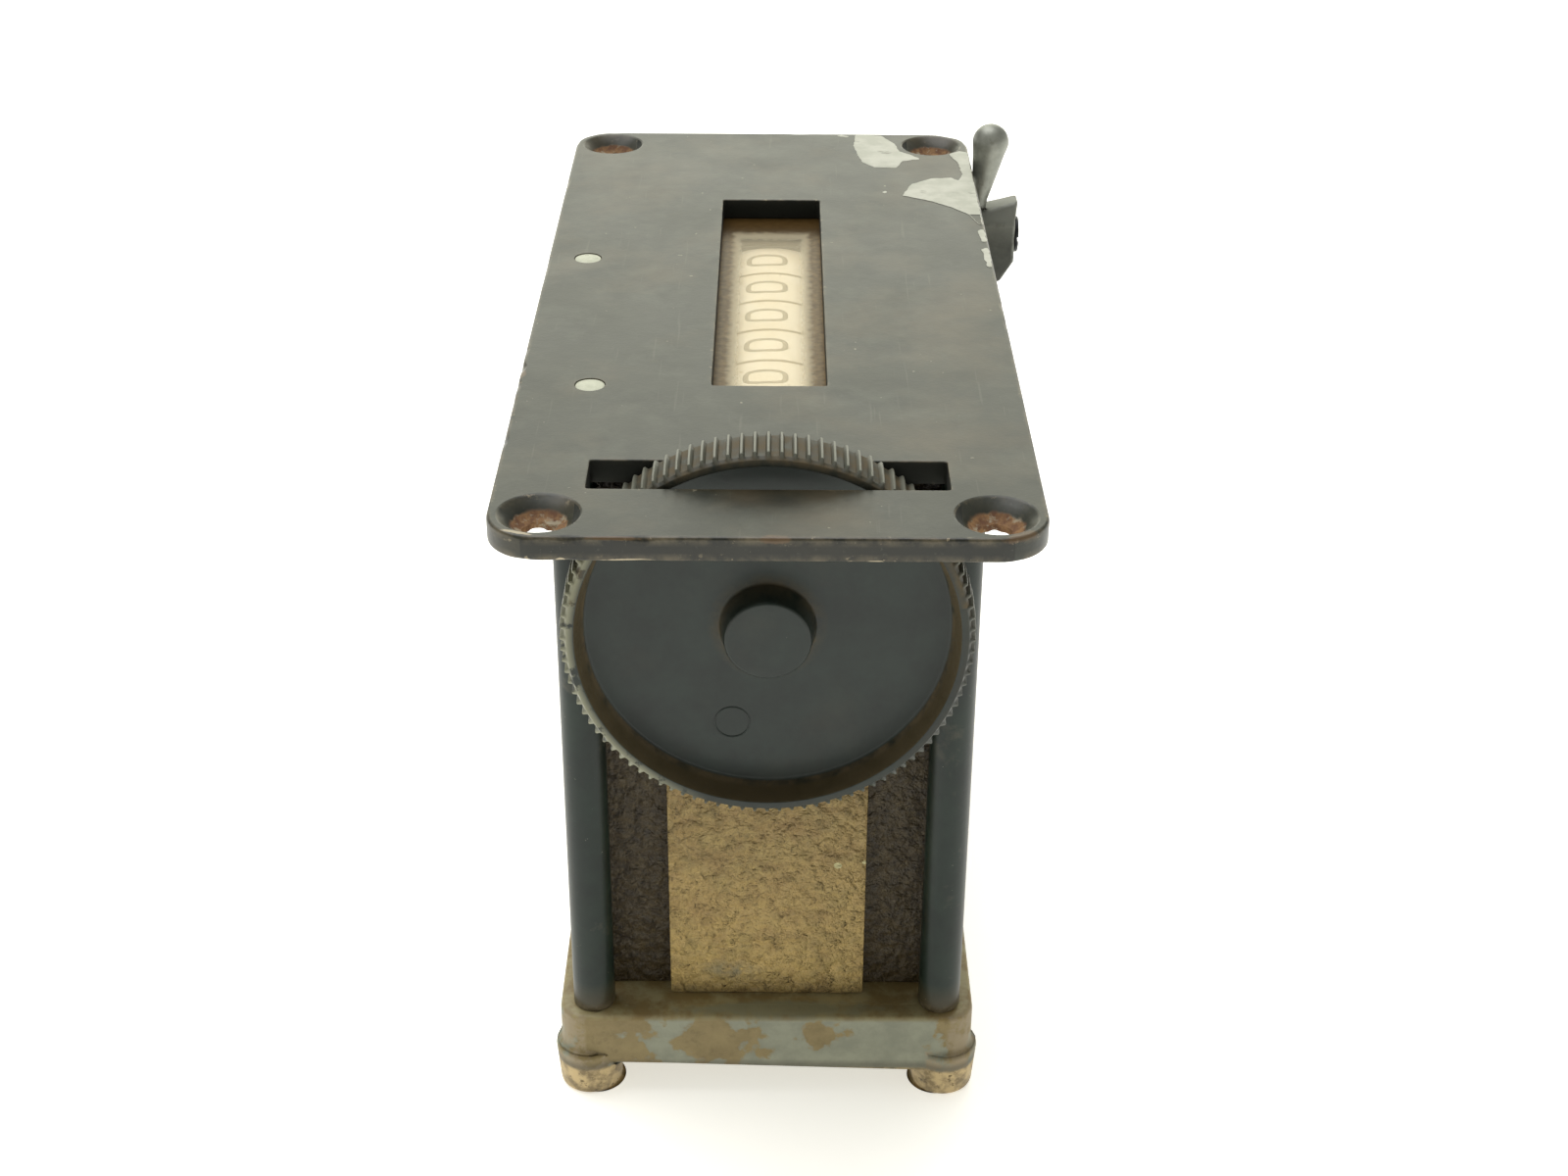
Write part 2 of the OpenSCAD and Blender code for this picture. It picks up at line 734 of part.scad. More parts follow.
module lever_arm() {
    color("#3c4144") difference() {
        union() {
            rod(lever_y - 0.7, lever_y + lever_t, lever_hub_r);
            link(lever_y + 1, lever_y + lever_t - 1, [0, axis_z], [block_x, block_mid_z],
                lever_hub_r - 1.2, 4.2);
            slab(lever_y, lever_y + lever_t) polygon(block_points());
        }
        translate([block_x - 4, lever_y, block_top_z - slope_h]) rotate([atan2(slope_h, slope_t), 0, 0])
            translate([0, -5, 0]) cube([12, 12, 5]);
        rod(lever_y - 2, lever_y + lever_t + 1, drive_r);
        on_finger() translate([0, 0, -shank_sink]) cylinder(h = shank_sink + finger_l, r = shank_r);
        translate([finger_x - 1, lever_y + lever_t / 2, clamp_z]) rotate([0, 90, 0])
            cylinder(h = 10, r = clamp_r);
        translate([0, lever_y + lever_t / 2, axis_z]) rotate([180, 0, 0])
            cylinder(h = lever_hub_r + 1, r = grub_r);
    }
}

shank_r = 1;
clamp_r = 1;
screw_gap = 0.2;

module lever_finger() {
    color("#565b5c") on_finger() rotate_extrude() union() {
        translate([0, -shank_sink]) square([shank_r, shank_l + shank_sink + 0.1]);
        polygon([[0, shank_l], [shank_r, shank_l], [finger_r, finger_l], [0, finger_l]]);
        translate([0, finger_l]) intersection() {
            circle(finger_r);
            square(finger_r);
        }
    }
}

module finger_screw() {
    y = lever_y + lever_t / 2;
    start_x = finger_foot_x + shank_r + screw_gap;
    color("#2e3238") difference() {
        union() {
            translate([head_x, y, clamp_z]) rotate([0, 90, 0]) cylinder(h = 0.5, r = 2.3);
            translate([start_x, y, clamp_z]) rotate([0, 90, 0])
                cylinder(h = head_x - start_x + 0.1, r = clamp_r);
        }
        translate([head_x + 0.5, y, clamp_z]) cube([0.4, 6, 0.6], center = true);
    }
}

module lever_grub_screw() {
    color("#5b5a52") grub_screw(lever_y + lever_t / 2, 3.2, drive_r);
}

// ---- Return spring ----

spring_post_x = -9.5;
spring_coil_r = drive_r + 1.6;
spring_post_z = spring_coil_r - tail_r - spring_wire_r;
spring_start_y = housing_l / 2 + panel_proud + 0.8;
spring_pitch = 0.95;

// Centre line of the wire: a straight leg, the coil, and a second straight leg
function spring_path() = concat(
    [[spring_post_x - 2, spring_start_y, axis_z + spring_coil_r]],
    [for (k = [0 : spring_turns * 18])
        let (a = 90 - k * 20)
        [spring_coil_r * cos(a), spring_start_y + spring_pitch * k / 18, axis_z + spring_coil_r * sin(a)]],
    [[11, spring_start_y + spring_pitch * spring_turns, axis_z + spring_coil_r]]
);

module return_spring() {
    path = spring_path();
    n = len(path);
    sides = 8;
    points = [
        for (k = [0 : n - 1], s = [0 : sides - 1])
            let (
                d = path[min(k + 1, n - 1)] - path[max(k - 1, 0)],
                u = cross([0, 1, 0], d) / norm(cross([0, 1, 0], d)),
                v = cross(d, u) / norm(cross(d, u)),
                a = s * 360 / sides
            )
            path[k] + spring_wire_r * (cos(a) * u + sin(a) * v)
    ];
    sides_faces = [
        for (k = [0 : n - 2], s = [0 : sides - 1])
            let (t = (s + 1) % sides)
            [k * sides + s, (k + 1) * sides + s, (k + 1) * sides + t, k * sides + t]
    ];
    ends = [[for (s = [0 : sides - 1]) s], [for (s = [0 : sides - 1]) n * sides - 1 - s]];
    color("#8f9290") polyhedron(points, concat(sides_faces, ends));
}

module spring_post() {
    color("#8d8f8a") rod(housing_l / 2 - 1, spring_start_y + 1.5, tail_r, spring_post_x,
        axis_z + spring_post_z);
}

// ---- What is drawn ----

face_plate();
blanking_plugs();
window_pane();
pane_retainer();
pillar(-1, -1);  // pillar_front_left
pillar(1, -1);  // pillar_front_right
pillar(-1, 1);  // pillar_rear_left
pillar(1, 1);  // pillar_rear_right
housing();
base();
base_screws();
front_frame_plate();
rear_frame_plate();
frame_spacers();
carrier_rail();
front_bush();
rear_bush();
stop_studs();
holding_pawl_stud();
reset_wheel();
reset_grub_screw();
number_shaft();
shaft_clip();
digit_wheel(1);  // digit_wheel_1
digit_wheel(2);  // digit_wheel_2
digit_wheel(3);  // digit_wheel_3
digit_wheel(4);  // digit_wheel_4
digit_wheel(5);  // digit_wheel_5
reset_spring(1);  // reset_spring_1
reset_spring(2);  // reset_spring_2
reset_spring(3);  // reset_spring_3
reset_spring(4);  // reset_spring_4
reset_spring(5);  // reset_spring_5
pinion_carrier(1);  // pinion_carrier_1
pinion_carrier(2);  // pinion_carrier_2
pinion_carrier(3);  // pinion_carrier_3
pinion_carrier(4);  // pinion_carrier_4
transfer_pinion(1);  // transfer_pinion_1
transfer_pinion(2);  // transfer_pinion_2
transfer_pinion(3);  // transfer_pinion_3
transfer_pinion(4);  // transfer_pinion_4
ratchet_wheel();
holding_pawl();
drive_shaft();
driver_plate();
drive_pawl();
drive_pawl_stud();
lever_arm();
lever_finger();
finger_screw();
lever_grub_screw();
return_spring();
spring_post();
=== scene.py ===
# %% [markdown]
# # A turnstile's visitor counter
# The object is the counting unit of a turnstile: a steel face plate with a window over five figure
# wheels, a knurled reset wheel standing out of a slot, a cast housing on a base, and a drive lever at
# the back. The imported CAD model gives every size and every moving body. This script gives the looks,
# one piece and one finish at a time. The frame is loaded first, because each piece takes its place
# from it, and the CAD boxes are measured at once.
# %% Load the frame
import json
import math

import bmesh
import bpy
import numpy as np
from mathutils import Matrix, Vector
from mathutils.geometry import tessellate_polygon


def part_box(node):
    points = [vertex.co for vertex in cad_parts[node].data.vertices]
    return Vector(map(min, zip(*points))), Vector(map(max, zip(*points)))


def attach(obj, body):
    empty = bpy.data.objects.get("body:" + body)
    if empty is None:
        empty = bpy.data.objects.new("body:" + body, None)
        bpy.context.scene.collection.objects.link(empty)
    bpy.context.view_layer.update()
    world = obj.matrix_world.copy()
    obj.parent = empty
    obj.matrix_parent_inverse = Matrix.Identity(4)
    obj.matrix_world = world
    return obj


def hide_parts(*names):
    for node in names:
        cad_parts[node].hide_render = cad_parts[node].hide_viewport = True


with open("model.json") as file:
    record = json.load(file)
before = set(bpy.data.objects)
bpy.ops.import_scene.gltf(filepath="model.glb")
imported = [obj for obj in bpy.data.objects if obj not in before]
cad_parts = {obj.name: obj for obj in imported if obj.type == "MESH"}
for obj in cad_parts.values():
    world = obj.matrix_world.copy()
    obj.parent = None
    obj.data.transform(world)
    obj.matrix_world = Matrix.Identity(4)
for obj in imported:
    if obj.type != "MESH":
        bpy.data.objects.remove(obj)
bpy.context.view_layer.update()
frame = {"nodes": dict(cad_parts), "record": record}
NODES = frame["nodes"]
BODY_OF = {n: body for body, members in frame["record"]["behaviour"]["bodies"].items() for n in members}
MM = 0.001  # Blender's metres in one millimetre; every array below is in millimetres


def unit(vectors):
    """Each vector divided by its own length."""
    return vectors / np.linalg.norm(vectors, axis=-1, keepdims=True)


def box_mm(node):
    """The lowest and highest corner of a CAD node at rest, in millimetres."""
    low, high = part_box(node)
    return np.array(low) / MM, np.array(high) / MM


# %% [markdown]
# The main measures are read back from the CAD boxes instead of being typed again. If the plate grows
# in the CAD model, every piece below follows it. The number shaft's height comes from the first
# figure wheel, which is a full round drum centred on the shaft.
# %% Measure the frame
plate_low, plate_high = box_mm("face_plate")
pane_low, pane_high = box_mm("window_pane")
wheel_low, wheel_high = box_mm("reset_wheel")
drum_low, drum_high = box_mm("digit_wheel_1")
base_low = box_mm("base")[0]
house_low, house_high = box_mm("housing")
AXIS_Z = (drum_low[2] + drum_high[2]) / 2
DRUM_R = (drum_high[0] - drum_low[0]) / 2
print("shaft at z", round(AXIS_Z, 2), "drum radius", round(DRUM_R, 2))

# %% [markdown]
# ## Camera, floor and light
# A small object is best shown from a little above, close up with a normal lens, so its verticals
# lean together. The camera's matrix is built from three angles: down, left and a slight tilt. The
# forward vector comes from the first two, and the tilt turns right and up round it. There is no
# blur, because a catalogue view is sharp all over.
# %% Place the camera
CAMERA_MM = (0.64, -235.75, 96.86)
LENS_MM, SENSOR_MM = 52.52, 36.0
DOWN, YAW, TILT = np.radians([29.115, 0.267, 0.421])
forward = np.array([math.sin(YAW) * math.cos(DOWN), math.cos(YAW) * math.cos(DOWN), -math.sin(DOWN)])
level = np.array([math.cos(YAW), -math.sin(YAW), 0.0])
above = np.cross(level, forward)
right = level * math.cos(TILT) + above * math.sin(TILT)
up = above * math.cos(TILT) - level * math.sin(TILT)
lens = bpy.data.cameras.new("camera")
lens.lens, lens.sensor_width, lens.clip_start, lens.clip_end = LENS_MM, SENSOR_MM, 0.01, 200
camera = bpy.data.objects.new("camera", lens)
turn = np.eye(4)
turn[:3, :3] = np.column_stack([right, up, -forward])
turn[:3, 3] = np.array(CAMERA_MM) * MM
camera.matrix_world = Matrix(turn.tolist())
bpy.context.scene.collection.objects.link(camera)
bpy.context.scene.camera = camera
print("camera at", CAMERA_MM, "mm with a", LENS_MM, "mm lens")

# %% [markdown]
# Colours are written as the hex values that a painter's chart or a screen would show, and one
# function turns them to the linear numbers that the renderer adds up.
# %% Colour from a hex value


def srgb(value):
    """Linear colour of an sRGB hex value: c / 12.92 up to 0.04045, else ((c + 0.055) / 1.055) to the 2.4."""
    c = np.array([int(value[k:k + 2], 16) for k in (1, 3, 5)]) / 255
    return (*np.where(c <= 0.04045, c / 12.92, ((c + 0.055) / 1.055) ** 2.4).tolist(), 1.0)


# %% [markdown]
# One small function adds any shader node. Its inputs are named as in the node's panel, and each is
# given a value, a socket or another node, so that a finish reads as a list of what feeds what.
# %% Add one shader node


def add(tree, kind, inputs=None, **settings):
    """Adds a node with its settings. An input that is a node or a socket is linked, and any other is set."""
    made = tree.nodes.new("ShaderNode" + kind)
    for key, value in settings.items():
        setattr(made, key, value)
    for key, value in (inputs or {}).items():
        if isinstance(value, bpy.types.Node):
            value = value.outputs[0]
        if isinstance(value, bpy.types.NodeSocket):
            tree.links.new(value, made.inputs[key])
        else:
            made.inputs[key].default_value = value
    return made


FACTOR, FIRST, SECOND, MIXED = 0, 6, 7, 2  # a colour Mix node's sockets, which share their names
PLACE = "Texture Coordinate"  # the node that gives Object coordinates, found in a tree by its name


def start_material(name, **surface):
    """A new material with its Principled shader's plain inputs set, and its Object coordinates."""
    material = bpy.data.materials.new(name)
    material.use_nodes = True
    tree = material.node_tree
    shader = tree.nodes["Principled BSDF"]
    for key, value in surface.items():
        shader.inputs[key.replace("_", " ")].default_value = value
    place = add(tree, "TexCoord").outputs["Object"]
    return material, tree, shader, place


def per_metre(size):
    """How many features of that many millimetres lie in a metre, which is a texture's Scale."""
    return 1 / (size * MM)


# %% [markdown]
# The object stands on a white table under a large soft light, with white all round it, so that
# satin paint shows a pale, even sheen on its top and stays dark on its sides. A wide floor, a white
# world and two soft lamps do that. The picture's tones are kept plain, with no film curve.
# %% Build the floor and the light
bpy.context.scene.view_settings.view_transform = "Standard"
FLAT_HALF, FLOOR_HALF, RIM_RISE = 45.0, 60.0, 4.0
floor_mesh = bpy.data.meshes.new("floor")
floor_z = base_low[2] * MM
ring = np.array([[-1, -1, 0], [1, -1, 0], [1, 1, 0], [-1, 1, 0]], float)
flat = ring * FLAT_HALF + (0, 0, floor_z)
rim = ring * FLOOR_HALF + (0, 0, floor_z + RIM_RISE)
rim_faces = [(i, 4 + i, 4 + (i + 1) % 4, (i + 1) % 4) for i in range(4)]
floor_mesh.from_pydata(np.vstack([flat, rim]).tolist(), [], [(0, 1, 2, 3)] + rim_faces)
floor = bpy.data.objects.new("floor", floor_mesh)
bpy.context.scene.collection.objects.link(floor)
table, tree, shader, place = start_material("white_table_card", Roughness=0.9)
shader.inputs["Base Color"].default_value = srgb("#f6f6f4")
shader.inputs["Emission Color"].default_value = srgb("#fffdf4")
shader.inputs["Emission Strength"].default_value = 0.58
floor_mesh.materials.append(table)

world = bpy.data.worlds.new("white_room")
bpy.context.scene.world = world
world.use_nodes = True
room_light = world.node_tree.nodes["Background"]
room_light.inputs["Color"].default_value = srgb("#fdfcf3")
room_light.inputs["Strength"].default_value = 0.36


def lamp(name, kind, at, strength, colour="#ffffff", size=1000, angle=40):
    """A soft lamp at a point in millimetres, facing the object: a square panel, or a sun of some angle."""
    data = bpy.data.lights.new(name, kind)
    data.energy, data.color = strength, srgb(colour)[:3]
    if kind == "AREA":
        data.size = size * MM
    else:
        data.angle = math.radians(angle)
    made = bpy.data.objects.new(name, data)
    z = unit(np.array(at, float) - LOOK_AT)
    x = unit(np.cross([0, 0.1, 1], z))
    turned = np.eye(4)
    turned[:3, :3] = np.column_stack([x, np.cross(z, x), z])
    turned[:3, 3] = np.array(at) * MM
    made.matrix_world = Matrix(turned.tolist())
    made.visible_camera = False
    bpy.context.scene.collection.objects.link(made)


LOOK_AT = np.array([0.0, 0.0, -30.0])
lamp("sky_panel", "SUN", (-140, 190, 700), 2.5, angle=55)
lamp("back_panel", "AREA", (0, 1180, 470), 8.2, "#f4f5e2", size=1200)
print("floor at", round(floor_z / MM, 1), "mm, two soft lamps")

# %% [markdown]
# ## Tools for making surfaces
# Every new piece is arrays of points and rows of corner numbers. The same small tools serve all of
# them: rounding the corners of an outline, turning a profile round an axis, and piercing a plate.
# A worn object is never sharp, so rounding comes first. In a real workshop the edges are broken with
# a file or rumbled in a barrel; here an arc replaces each corner.
# %% Round the corners of an outline


def fillet(corners, radii, steps=5, closed=True):
    """Replaces each corner by an arc. The centre lies on the corner's bisector, radius / sin(half the
    angle) away; the arc runs between the two tangent points by spherical interpolation."""
    corners = np.asarray(corners, float)
    a = unit(np.roll(corners, 1, 0) - corners + 1e-12)
    b = unit(np.roll(corners, -1, 0) - corners + 1e-12)
    half = np.arccos(np.clip((a * b).sum(1), -0.99999, 0.99999))[:, None] / 2
    radii = np.broadcast_to(np.asarray(radii, float), len(corners))[:, None]
    centre = corners + unit(a + b + 1e-12) * radii / np.sin(half)
    start = corners + a * radii / np.tan(half) - centre
    end = corners + b * radii / np.tan(half) - centre
    sweep = (np.pi - 2 * half)[:, None]
    t = np.linspace(0, 1, steps)[None, :, None]
    arcs = np.sin((1 - t) * sweep) * start[:, None] + np.sin(t * sweep) * end[:, None]
    arcs = arcs / np.sin(sweep) + centre[:, None]
    if not closed:
        arcs[0], arcs[-1] = corners[0], corners[-1]
    return arcs.reshape(-1, 2)


def rectangle(centre, size, radius, steps=5):
    """A rectangle's outline, anticlockwise, with round corners."""
    x, y = np.asarray(size) / 2
    return fillet(np.array([[-x, -y], [x, -y], [x, y], [-x, y]]) + centre, radius, steps)


def circle(centre, radius, count=64):
    """Points evenly round a circle, anticlockwise."""
    a = np.linspace(0, 2 * np.pi, count, endpoint=False)
    return np.asarray(centre) + radius * np.column_stack([np.cos(a), np.sin(a)])


def even(outline, spacing):
    """The same closed outline with points added along its straight parts, about one spacing apart."""
    ends = np.roll(outline, -1, 0)
    parts = np.maximum(1, np.round(np.linalg.norm(ends - outline, axis=1) / spacing)).astype(int)
    which = np.repeat(np.arange(len(outline)), parts)
    share = (np.arange(parts.sum()) - np.repeat(np.cumsum(parts) - parts, parts)) / parts[which]
    return outline[which] + (ends - outline)[which] * share[:, None]


def ripple(count, waves, seed):
    """Smooth noise round a closed loop, from -1 to 1: a sum of sines with seeded phases and sizes."""
    pick = np.random.default_rng(seed)
    turns = np.arange(1, waves + 1)
    a = np.linspace(0, 2 * np.pi, count, endpoint=False)[:, None]
    waves_sum = (pick.normal(size=waves) * np.sin(a * turns + pick.uniform(0, 6.28, waves))).sum(1)
    return waves_sum / np.abs(waves_sum).max()


# %% [markdown]
# A mesh is filled straight from arrays. Each piece is then cleaned: points that fall together at
# seams and poles are merged, and the faces are turned outwards, which a closed skin allows. Values
# such as wear or dust can be stored at each point, for the finish to read.
# %% Turn arrays into a piece


def grid_faces(rows, columns, wrap_rows=False, wrap_columns=False, first=0):
    """Corner numbers of the quads between neighbouring rows and columns of a grid of points."""
    i = np.arange(rows if wrap_rows else rows - 1)[:, None]
    j = np.arange(columns if wrap_columns else columns - 1)[None, :]
    i2, j2 = (i + 1) % rows, (j + 1) % columns
    quads = [i * columns + j, i * columns + j2, i2 * columns + j2, i2 * columns + j]
    return np.stack([q + 0 * (i + j) for q in quads], -1).reshape(-1, 4) + first


def make_piece(name, points, face_sets, material, ride_on, values=None, crease=40,
               level_flat=False):
    """Fills a mesh with points in millimetres and faces, merges its doubles, turns it outwards and
    makes it ride on a body. With level_flat, the faces that lie level are shaded flat."""
    mesh = bpy.data.meshes.new(name)
    points = np.asarray(points, float).reshape(-1, 3)
    corners = np.concatenate([f.ravel() for f in face_sets])
    sizes = np.concatenate([np.full(len(f), f.shape[1]) for f in face_sets])
    mesh.vertices.add(len(points))
    mesh.vertices.foreach_set("co", (points * MM).astype(np.float32).ravel())
    mesh.loops.add(len(corners))
    mesh.loops.foreach_set("vertex_index", corners.astype(np.int32))
    mesh.polygons.add(len(sizes))
    mesh.polygons.foreach_set("loop_start", (np.cumsum(sizes) - sizes).astype(np.int32))
    mesh.update(calc_edges=True)
    for key, per_point in (values or {}).items():
        layer = mesh.attributes.new(key, "FLOAT", "POINT")
        layer.data.foreach_set("value", np.asarray(per_point, np.float32).ravel())
    work = bmesh.new()
    work.from_mesh(mesh)
    bmesh.ops.remove_doubles(work, verts=work.verts, dist=2e-7)
    bmesh.ops.dissolve_degenerate(work, edges=work.edges, dist=1e-7)
    bmesh.ops.recalc_face_normals(work, faces=work.faces)
    open_edges = sum(len(e.link_faces) != 2 for e in work.edges)
    work.to_mesh(mesh)
    work.free()
    facing = np.zeros(len(mesh.polygons) * 3, np.float32)
    mesh.polygons.foreach_get("normal", facing)
    level = np.abs(facing[2::3]) > 0.9999
    mesh.set_sharp_from_angle(angle=math.radians(crease))
    mesh.polygons.foreach_set("use_smooth", ~level if level_flat else np.ones(len(level), bool))
    mesh.materials.append(material)
    made = bpy.data.objects.new(name, mesh)
    bpy.context.scene.collection.objects.link(made)
    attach(made, ride_on)
    print(f"{name}: {len(mesh.polygons)} faces, {open_edges} open edges, on {ride_on}")
    return made


def revolve(profile, columns=96, centre=(0, 0)):
    """Points and faces of a profile of (radius, height) turned once round an axis. A profile that
    starts and ends on the axis closes the skin at both poles."""
    profile = np.asarray(profile, float)
    a = np.linspace(0, 2 * np.pi, columns, endpoint=False)
    x, y = profile[:, :1] * np.cos(a), profile[:, :1] * np.sin(a)
    z = profile[:, 1:] + 0 * a
    return np.stack([x + centre[0], y + centre[1], z],
                    -1), [grid_faces(len(profile), columns, wrap_columns=True)]


# %% [markdown]
# A plate with holes is one skin. Every loop, the rim or a hole, carries its own edge profile from the
# top face round to the bottom face, and the two flat faces are filled between the loops' ends. Each
# row of a profile says how far it steps off the loop, its height, and how worn it is. A ragged edge
# adds a chip depth that varies round the loop, as paint and metal chip on a real corner.
# %% Pierce a plate


def pierced_plate(loops, place=None):
    """Points, faces and wear of a plate. loops: (outline, sign, rows, chips), where sign is 1 for the
    rim and -1 for a hole, and a row is (step outwards from the metal, height, wear, chip's share of
    the step, chip's share of the height). place maps outline x, y and height to space."""
    points, wear, faces, tops, bottoms, first = [], [], [], [], [], 0
    for outline, sign, rows, chips in loops:
        rows = np.asarray(rows, float)
        along = unit(np.roll(outline, -1, 0) - np.roll(outline, 1, 0))
        outwards = sign * np.column_stack([along[:, 1], -along[:, 0]])
        depth = np.zeros(len(outline)) if chips is None else chips
        step = rows[:, 0:1] + rows[:, 3:4] * depth
        height = rows[:, 1:2] + rows[:, 4:5] * depth
        flat = outline[None] + outwards[None] * step[..., None]
        points.append(np.concatenate([flat, height[..., None]], -1).reshape(-1, 3))
        wear.append(np.repeat(rows[:, 2], len(outline)))
        faces.append(grid_faces(len(rows), len(outline), wrap_columns=True, first=first))
        tops.append(first + np.arange(len(outline)))
        bottoms.append(first + (len(rows) - 1) * len(outline) + np.arange(len(outline)))
        first += len(rows) * len(outline)
    points = np.concatenate(points)
    for rings in (tops, bottoms):
        numbers = np.concatenate(rings)
        filled = tessellate_polygon([[tuple(p) for p in points[r] * (1, 1, 0)] for r in rings])
        faces.append(numbers[np.array(filled)])
    wear = np.concatenate(wear)
    if place:
        points = place(points[:, 0], points[:, 1], points[:, 2])
    return points, faces, wear


def edge_rows(top, bottom, round_top, round_bottom, steps=4, inland=()):
    """Rows of a plate's edge: flat rows inland, a quarter round, the wall and a second quarter round.
    The quarter round steps in by r (1 - cos a) and down by r (1 - sin a)."""
    a = np.linspace(np.pi / 2, 0, steps + 1)
    rows = [(-round_top - d, top, w, 0, 0) for d, w in inland]
    rows += [(-round_top * (1 - math.cos(t)), top - round_top * (1 - math.sin(t)), 1.0,
              -math.sin(t), -0.8 * math.cos(t)) for t in a]
    rows[len(inland)] = (-round_top, top, 0.35, -1, 0)
    wall = np.linspace(top - round_top, bottom + round_bottom, 4)[1:-1]
    rows += [(0, h, 0.0, 0, 0) for h in wall]
    rows += [(-round_bottom * (1 - math.cos(t)), bottom + round_bottom * (1 - math.sin(t)), 0.9,
              -0.6 * math.sin(t), 0.6 * math.cos(t)) for t in a[::-1]]
    rows[-1] = (-round_bottom, bottom, 0.3, -0.6, 0)
    return rows


# %% [markdown]
# Castings and simple sheet parts keep the CAD shape, but a real edge is never razor sharp. A copy of
# the CAD node has its loose triangles merged and its flat faces joined again, and Bevel then rounds
# what is sharp. Weighted shading keeps the flats flat.
# %% Soften a CAD node's edges


def softened(node, width, material, steps=3, angle=35, reshape=None):
    """A merged copy of a CAD node with its sharp edges rounded by width in millimetres, which
    replaces the node. The wear value is 1 on points that only touch small, rounded faces."""
    mesh = NODES[node].data.copy()
    work = bmesh.new()
    work.from_mesh(mesh)
    bmesh.ops.remove_doubles(work, verts=work.verts, dist=1e-6)
    bmesh.ops.dissolve_limit(work, angle_limit=math.radians(0.6), verts=work.verts, edges=work.edges,
                             delimit={"NORMAL"})
    bmesh.ops.recalc_face_normals(work, faces=work.faces)
    for face in work.faces:
        face.smooth = True
    work.to_mesh(mesh)
    work.free()
    if reshape:
        places = np.zeros(len(mesh.vertices) * 3, np.float32)
        mesh.vertices.foreach_get("co", places)
        mesh.vertices.foreach_set("co", (reshape(places.reshape(-1, 3) / MM) * MM).astype(np.float32).ravel())
    made = bpy.data.objects.new(node + "_finished", mesh)
    bpy.context.scene.collection.objects.link(made)
    rounding = made.modifiers.new("rounding", "BEVEL")
    rounding.width, rounding.segments = width * MM, steps
    rounding.limit_method, rounding.angle_limit = "ANGLE", math.radians(angle)
    rounding.use_clamp_overlap, rounding.harden_normals = False, True
    rounding.miter_outer = "MITER_ARC"
    bpy.context.view_layer.update()
    final = bpy.data.meshes.new_from_object(made.evaluated_get(bpy.context.evaluated_depsgraph_get()))
    made.modifiers.clear()
    made.data = final
    areas = np.zeros(len(final.polygons))
    final.polygons.foreach_get("area", areas)
    sizes = np.zeros(len(final.polygons), np.int32)
    final.polygons.foreach_get("loop_total", sizes)
    corners = np.zeros(len(final.loops), np.int32)
    final.loops.foreach_get("vertex_index", corners)
    largest = np.zeros(len(final.vertices))
    np.maximum.at(largest, corners, np.repeat(areas, sizes))
    layer = final.attributes.new("wear", "FLOAT", "POINT")
    small = 6 * (width * MM) ** 2 + 4 * width * MM * MM
    layer.data.foreach_set("value", (largest < small).astype(np.float32))
    final.materials.clear()
    final.materials.append(material)
    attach(made, BODY_OF[node])
    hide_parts(node)
    print(f"{made.name}: {len(final.polygons)} faces, edges rounded by {width} mm")
    return made

# %% [markdown]
# ## Finishes
# Two patterns come back in most finishes. A patchy mask is soft noise pushed through a threshold: it
# gives stains, rubbed areas and chips. A spot mask marks named places, each an ellipsoid with its own
# centre and half sizes in millimetres, and noise makes its border ragged, as paint runs and chips.
# %% Patches, spots and coats


def patches(tree, size, low, high, detail=5.0, stretch=None):
    """A mask from 0 to 1 where noise of that grain size in millimetres passes from low to high."""
    place = tree.nodes[PLACE].outputs["Object"]
    if stretch:
        place = add(tree, "Mapping", {"Vector": place, "Scale": stretch})
    noise = add(tree, "TexNoise", {"Vector": place, "Scale": per_metre(size), "Detail": detail,
                                   "Roughness": 0.62})
    return add(tree, "MapRange", {"Value": noise, "From Min": low, "From Max": high})


def spots(tree, list_mm, ragged=0.5, grain=2.2, soft=0.06):
    """A mask of ellipsoids (x, y, z, half x, half y, half z, turn in degrees): the smallest scaled
    distance to any centre, plus noise, is compared with 1."""
    place = tree.nodes[PLACE].outputs["Object"]
    nearest = None
    for x, y, z, a, b, c, turn_deg in list_mm:
        local = add(tree, "Mapping", {
            "Vector": place, "Location": (x * MM, y * MM, z * MM), "Scale": (a * MM, b * MM, c * MM),
            "Rotation": (0, 0, math.radians(turn_deg))}, vector_type="TEXTURE")
        away = add(tree, "VectorMath", {0: local}, operation="LENGTH").outputs["Value"]
        nearest = away if nearest is None else add(tree, "Math", {0: nearest, 1: away}, operation="MINIMUM")
    noise = add(tree, "TexNoise", {"Vector": place, "Scale": per_metre(grain), "Detail": 4.0})
    pushed = add(tree, "Math", {0: noise, 1: ragged, 2: nearest}, operation="MULTIPLY_ADD")
    edge = 1 + ragged / 2
    return add(tree, "MapRange", {"Value": pushed, "From Min": edge + soft, "From Max": edge - soft})


def rise(tree, axis, start, end):
    """A mask that goes from 0 to 1 as a coordinate goes from start to end, in millimetres."""
    apart = add(tree, "SeparateXYZ", {0: tree.nodes[PLACE].outputs["Object"]})
    return add(tree, "MapRange", {"Value": apart.outputs[axis], "From Min": start * MM, "From Max": end * MM})


def worn(tree, value, size, low, high):
    """A value stored at the points, such as wear or dust, broken up into patches."""
    stored = add(tree, "Attribute", attribute_name=value).outputs["Fac"]
    return add(tree, "Math", {0: stored, 1: patches(tree, size, low, high)}, operation="MULTIPLY")


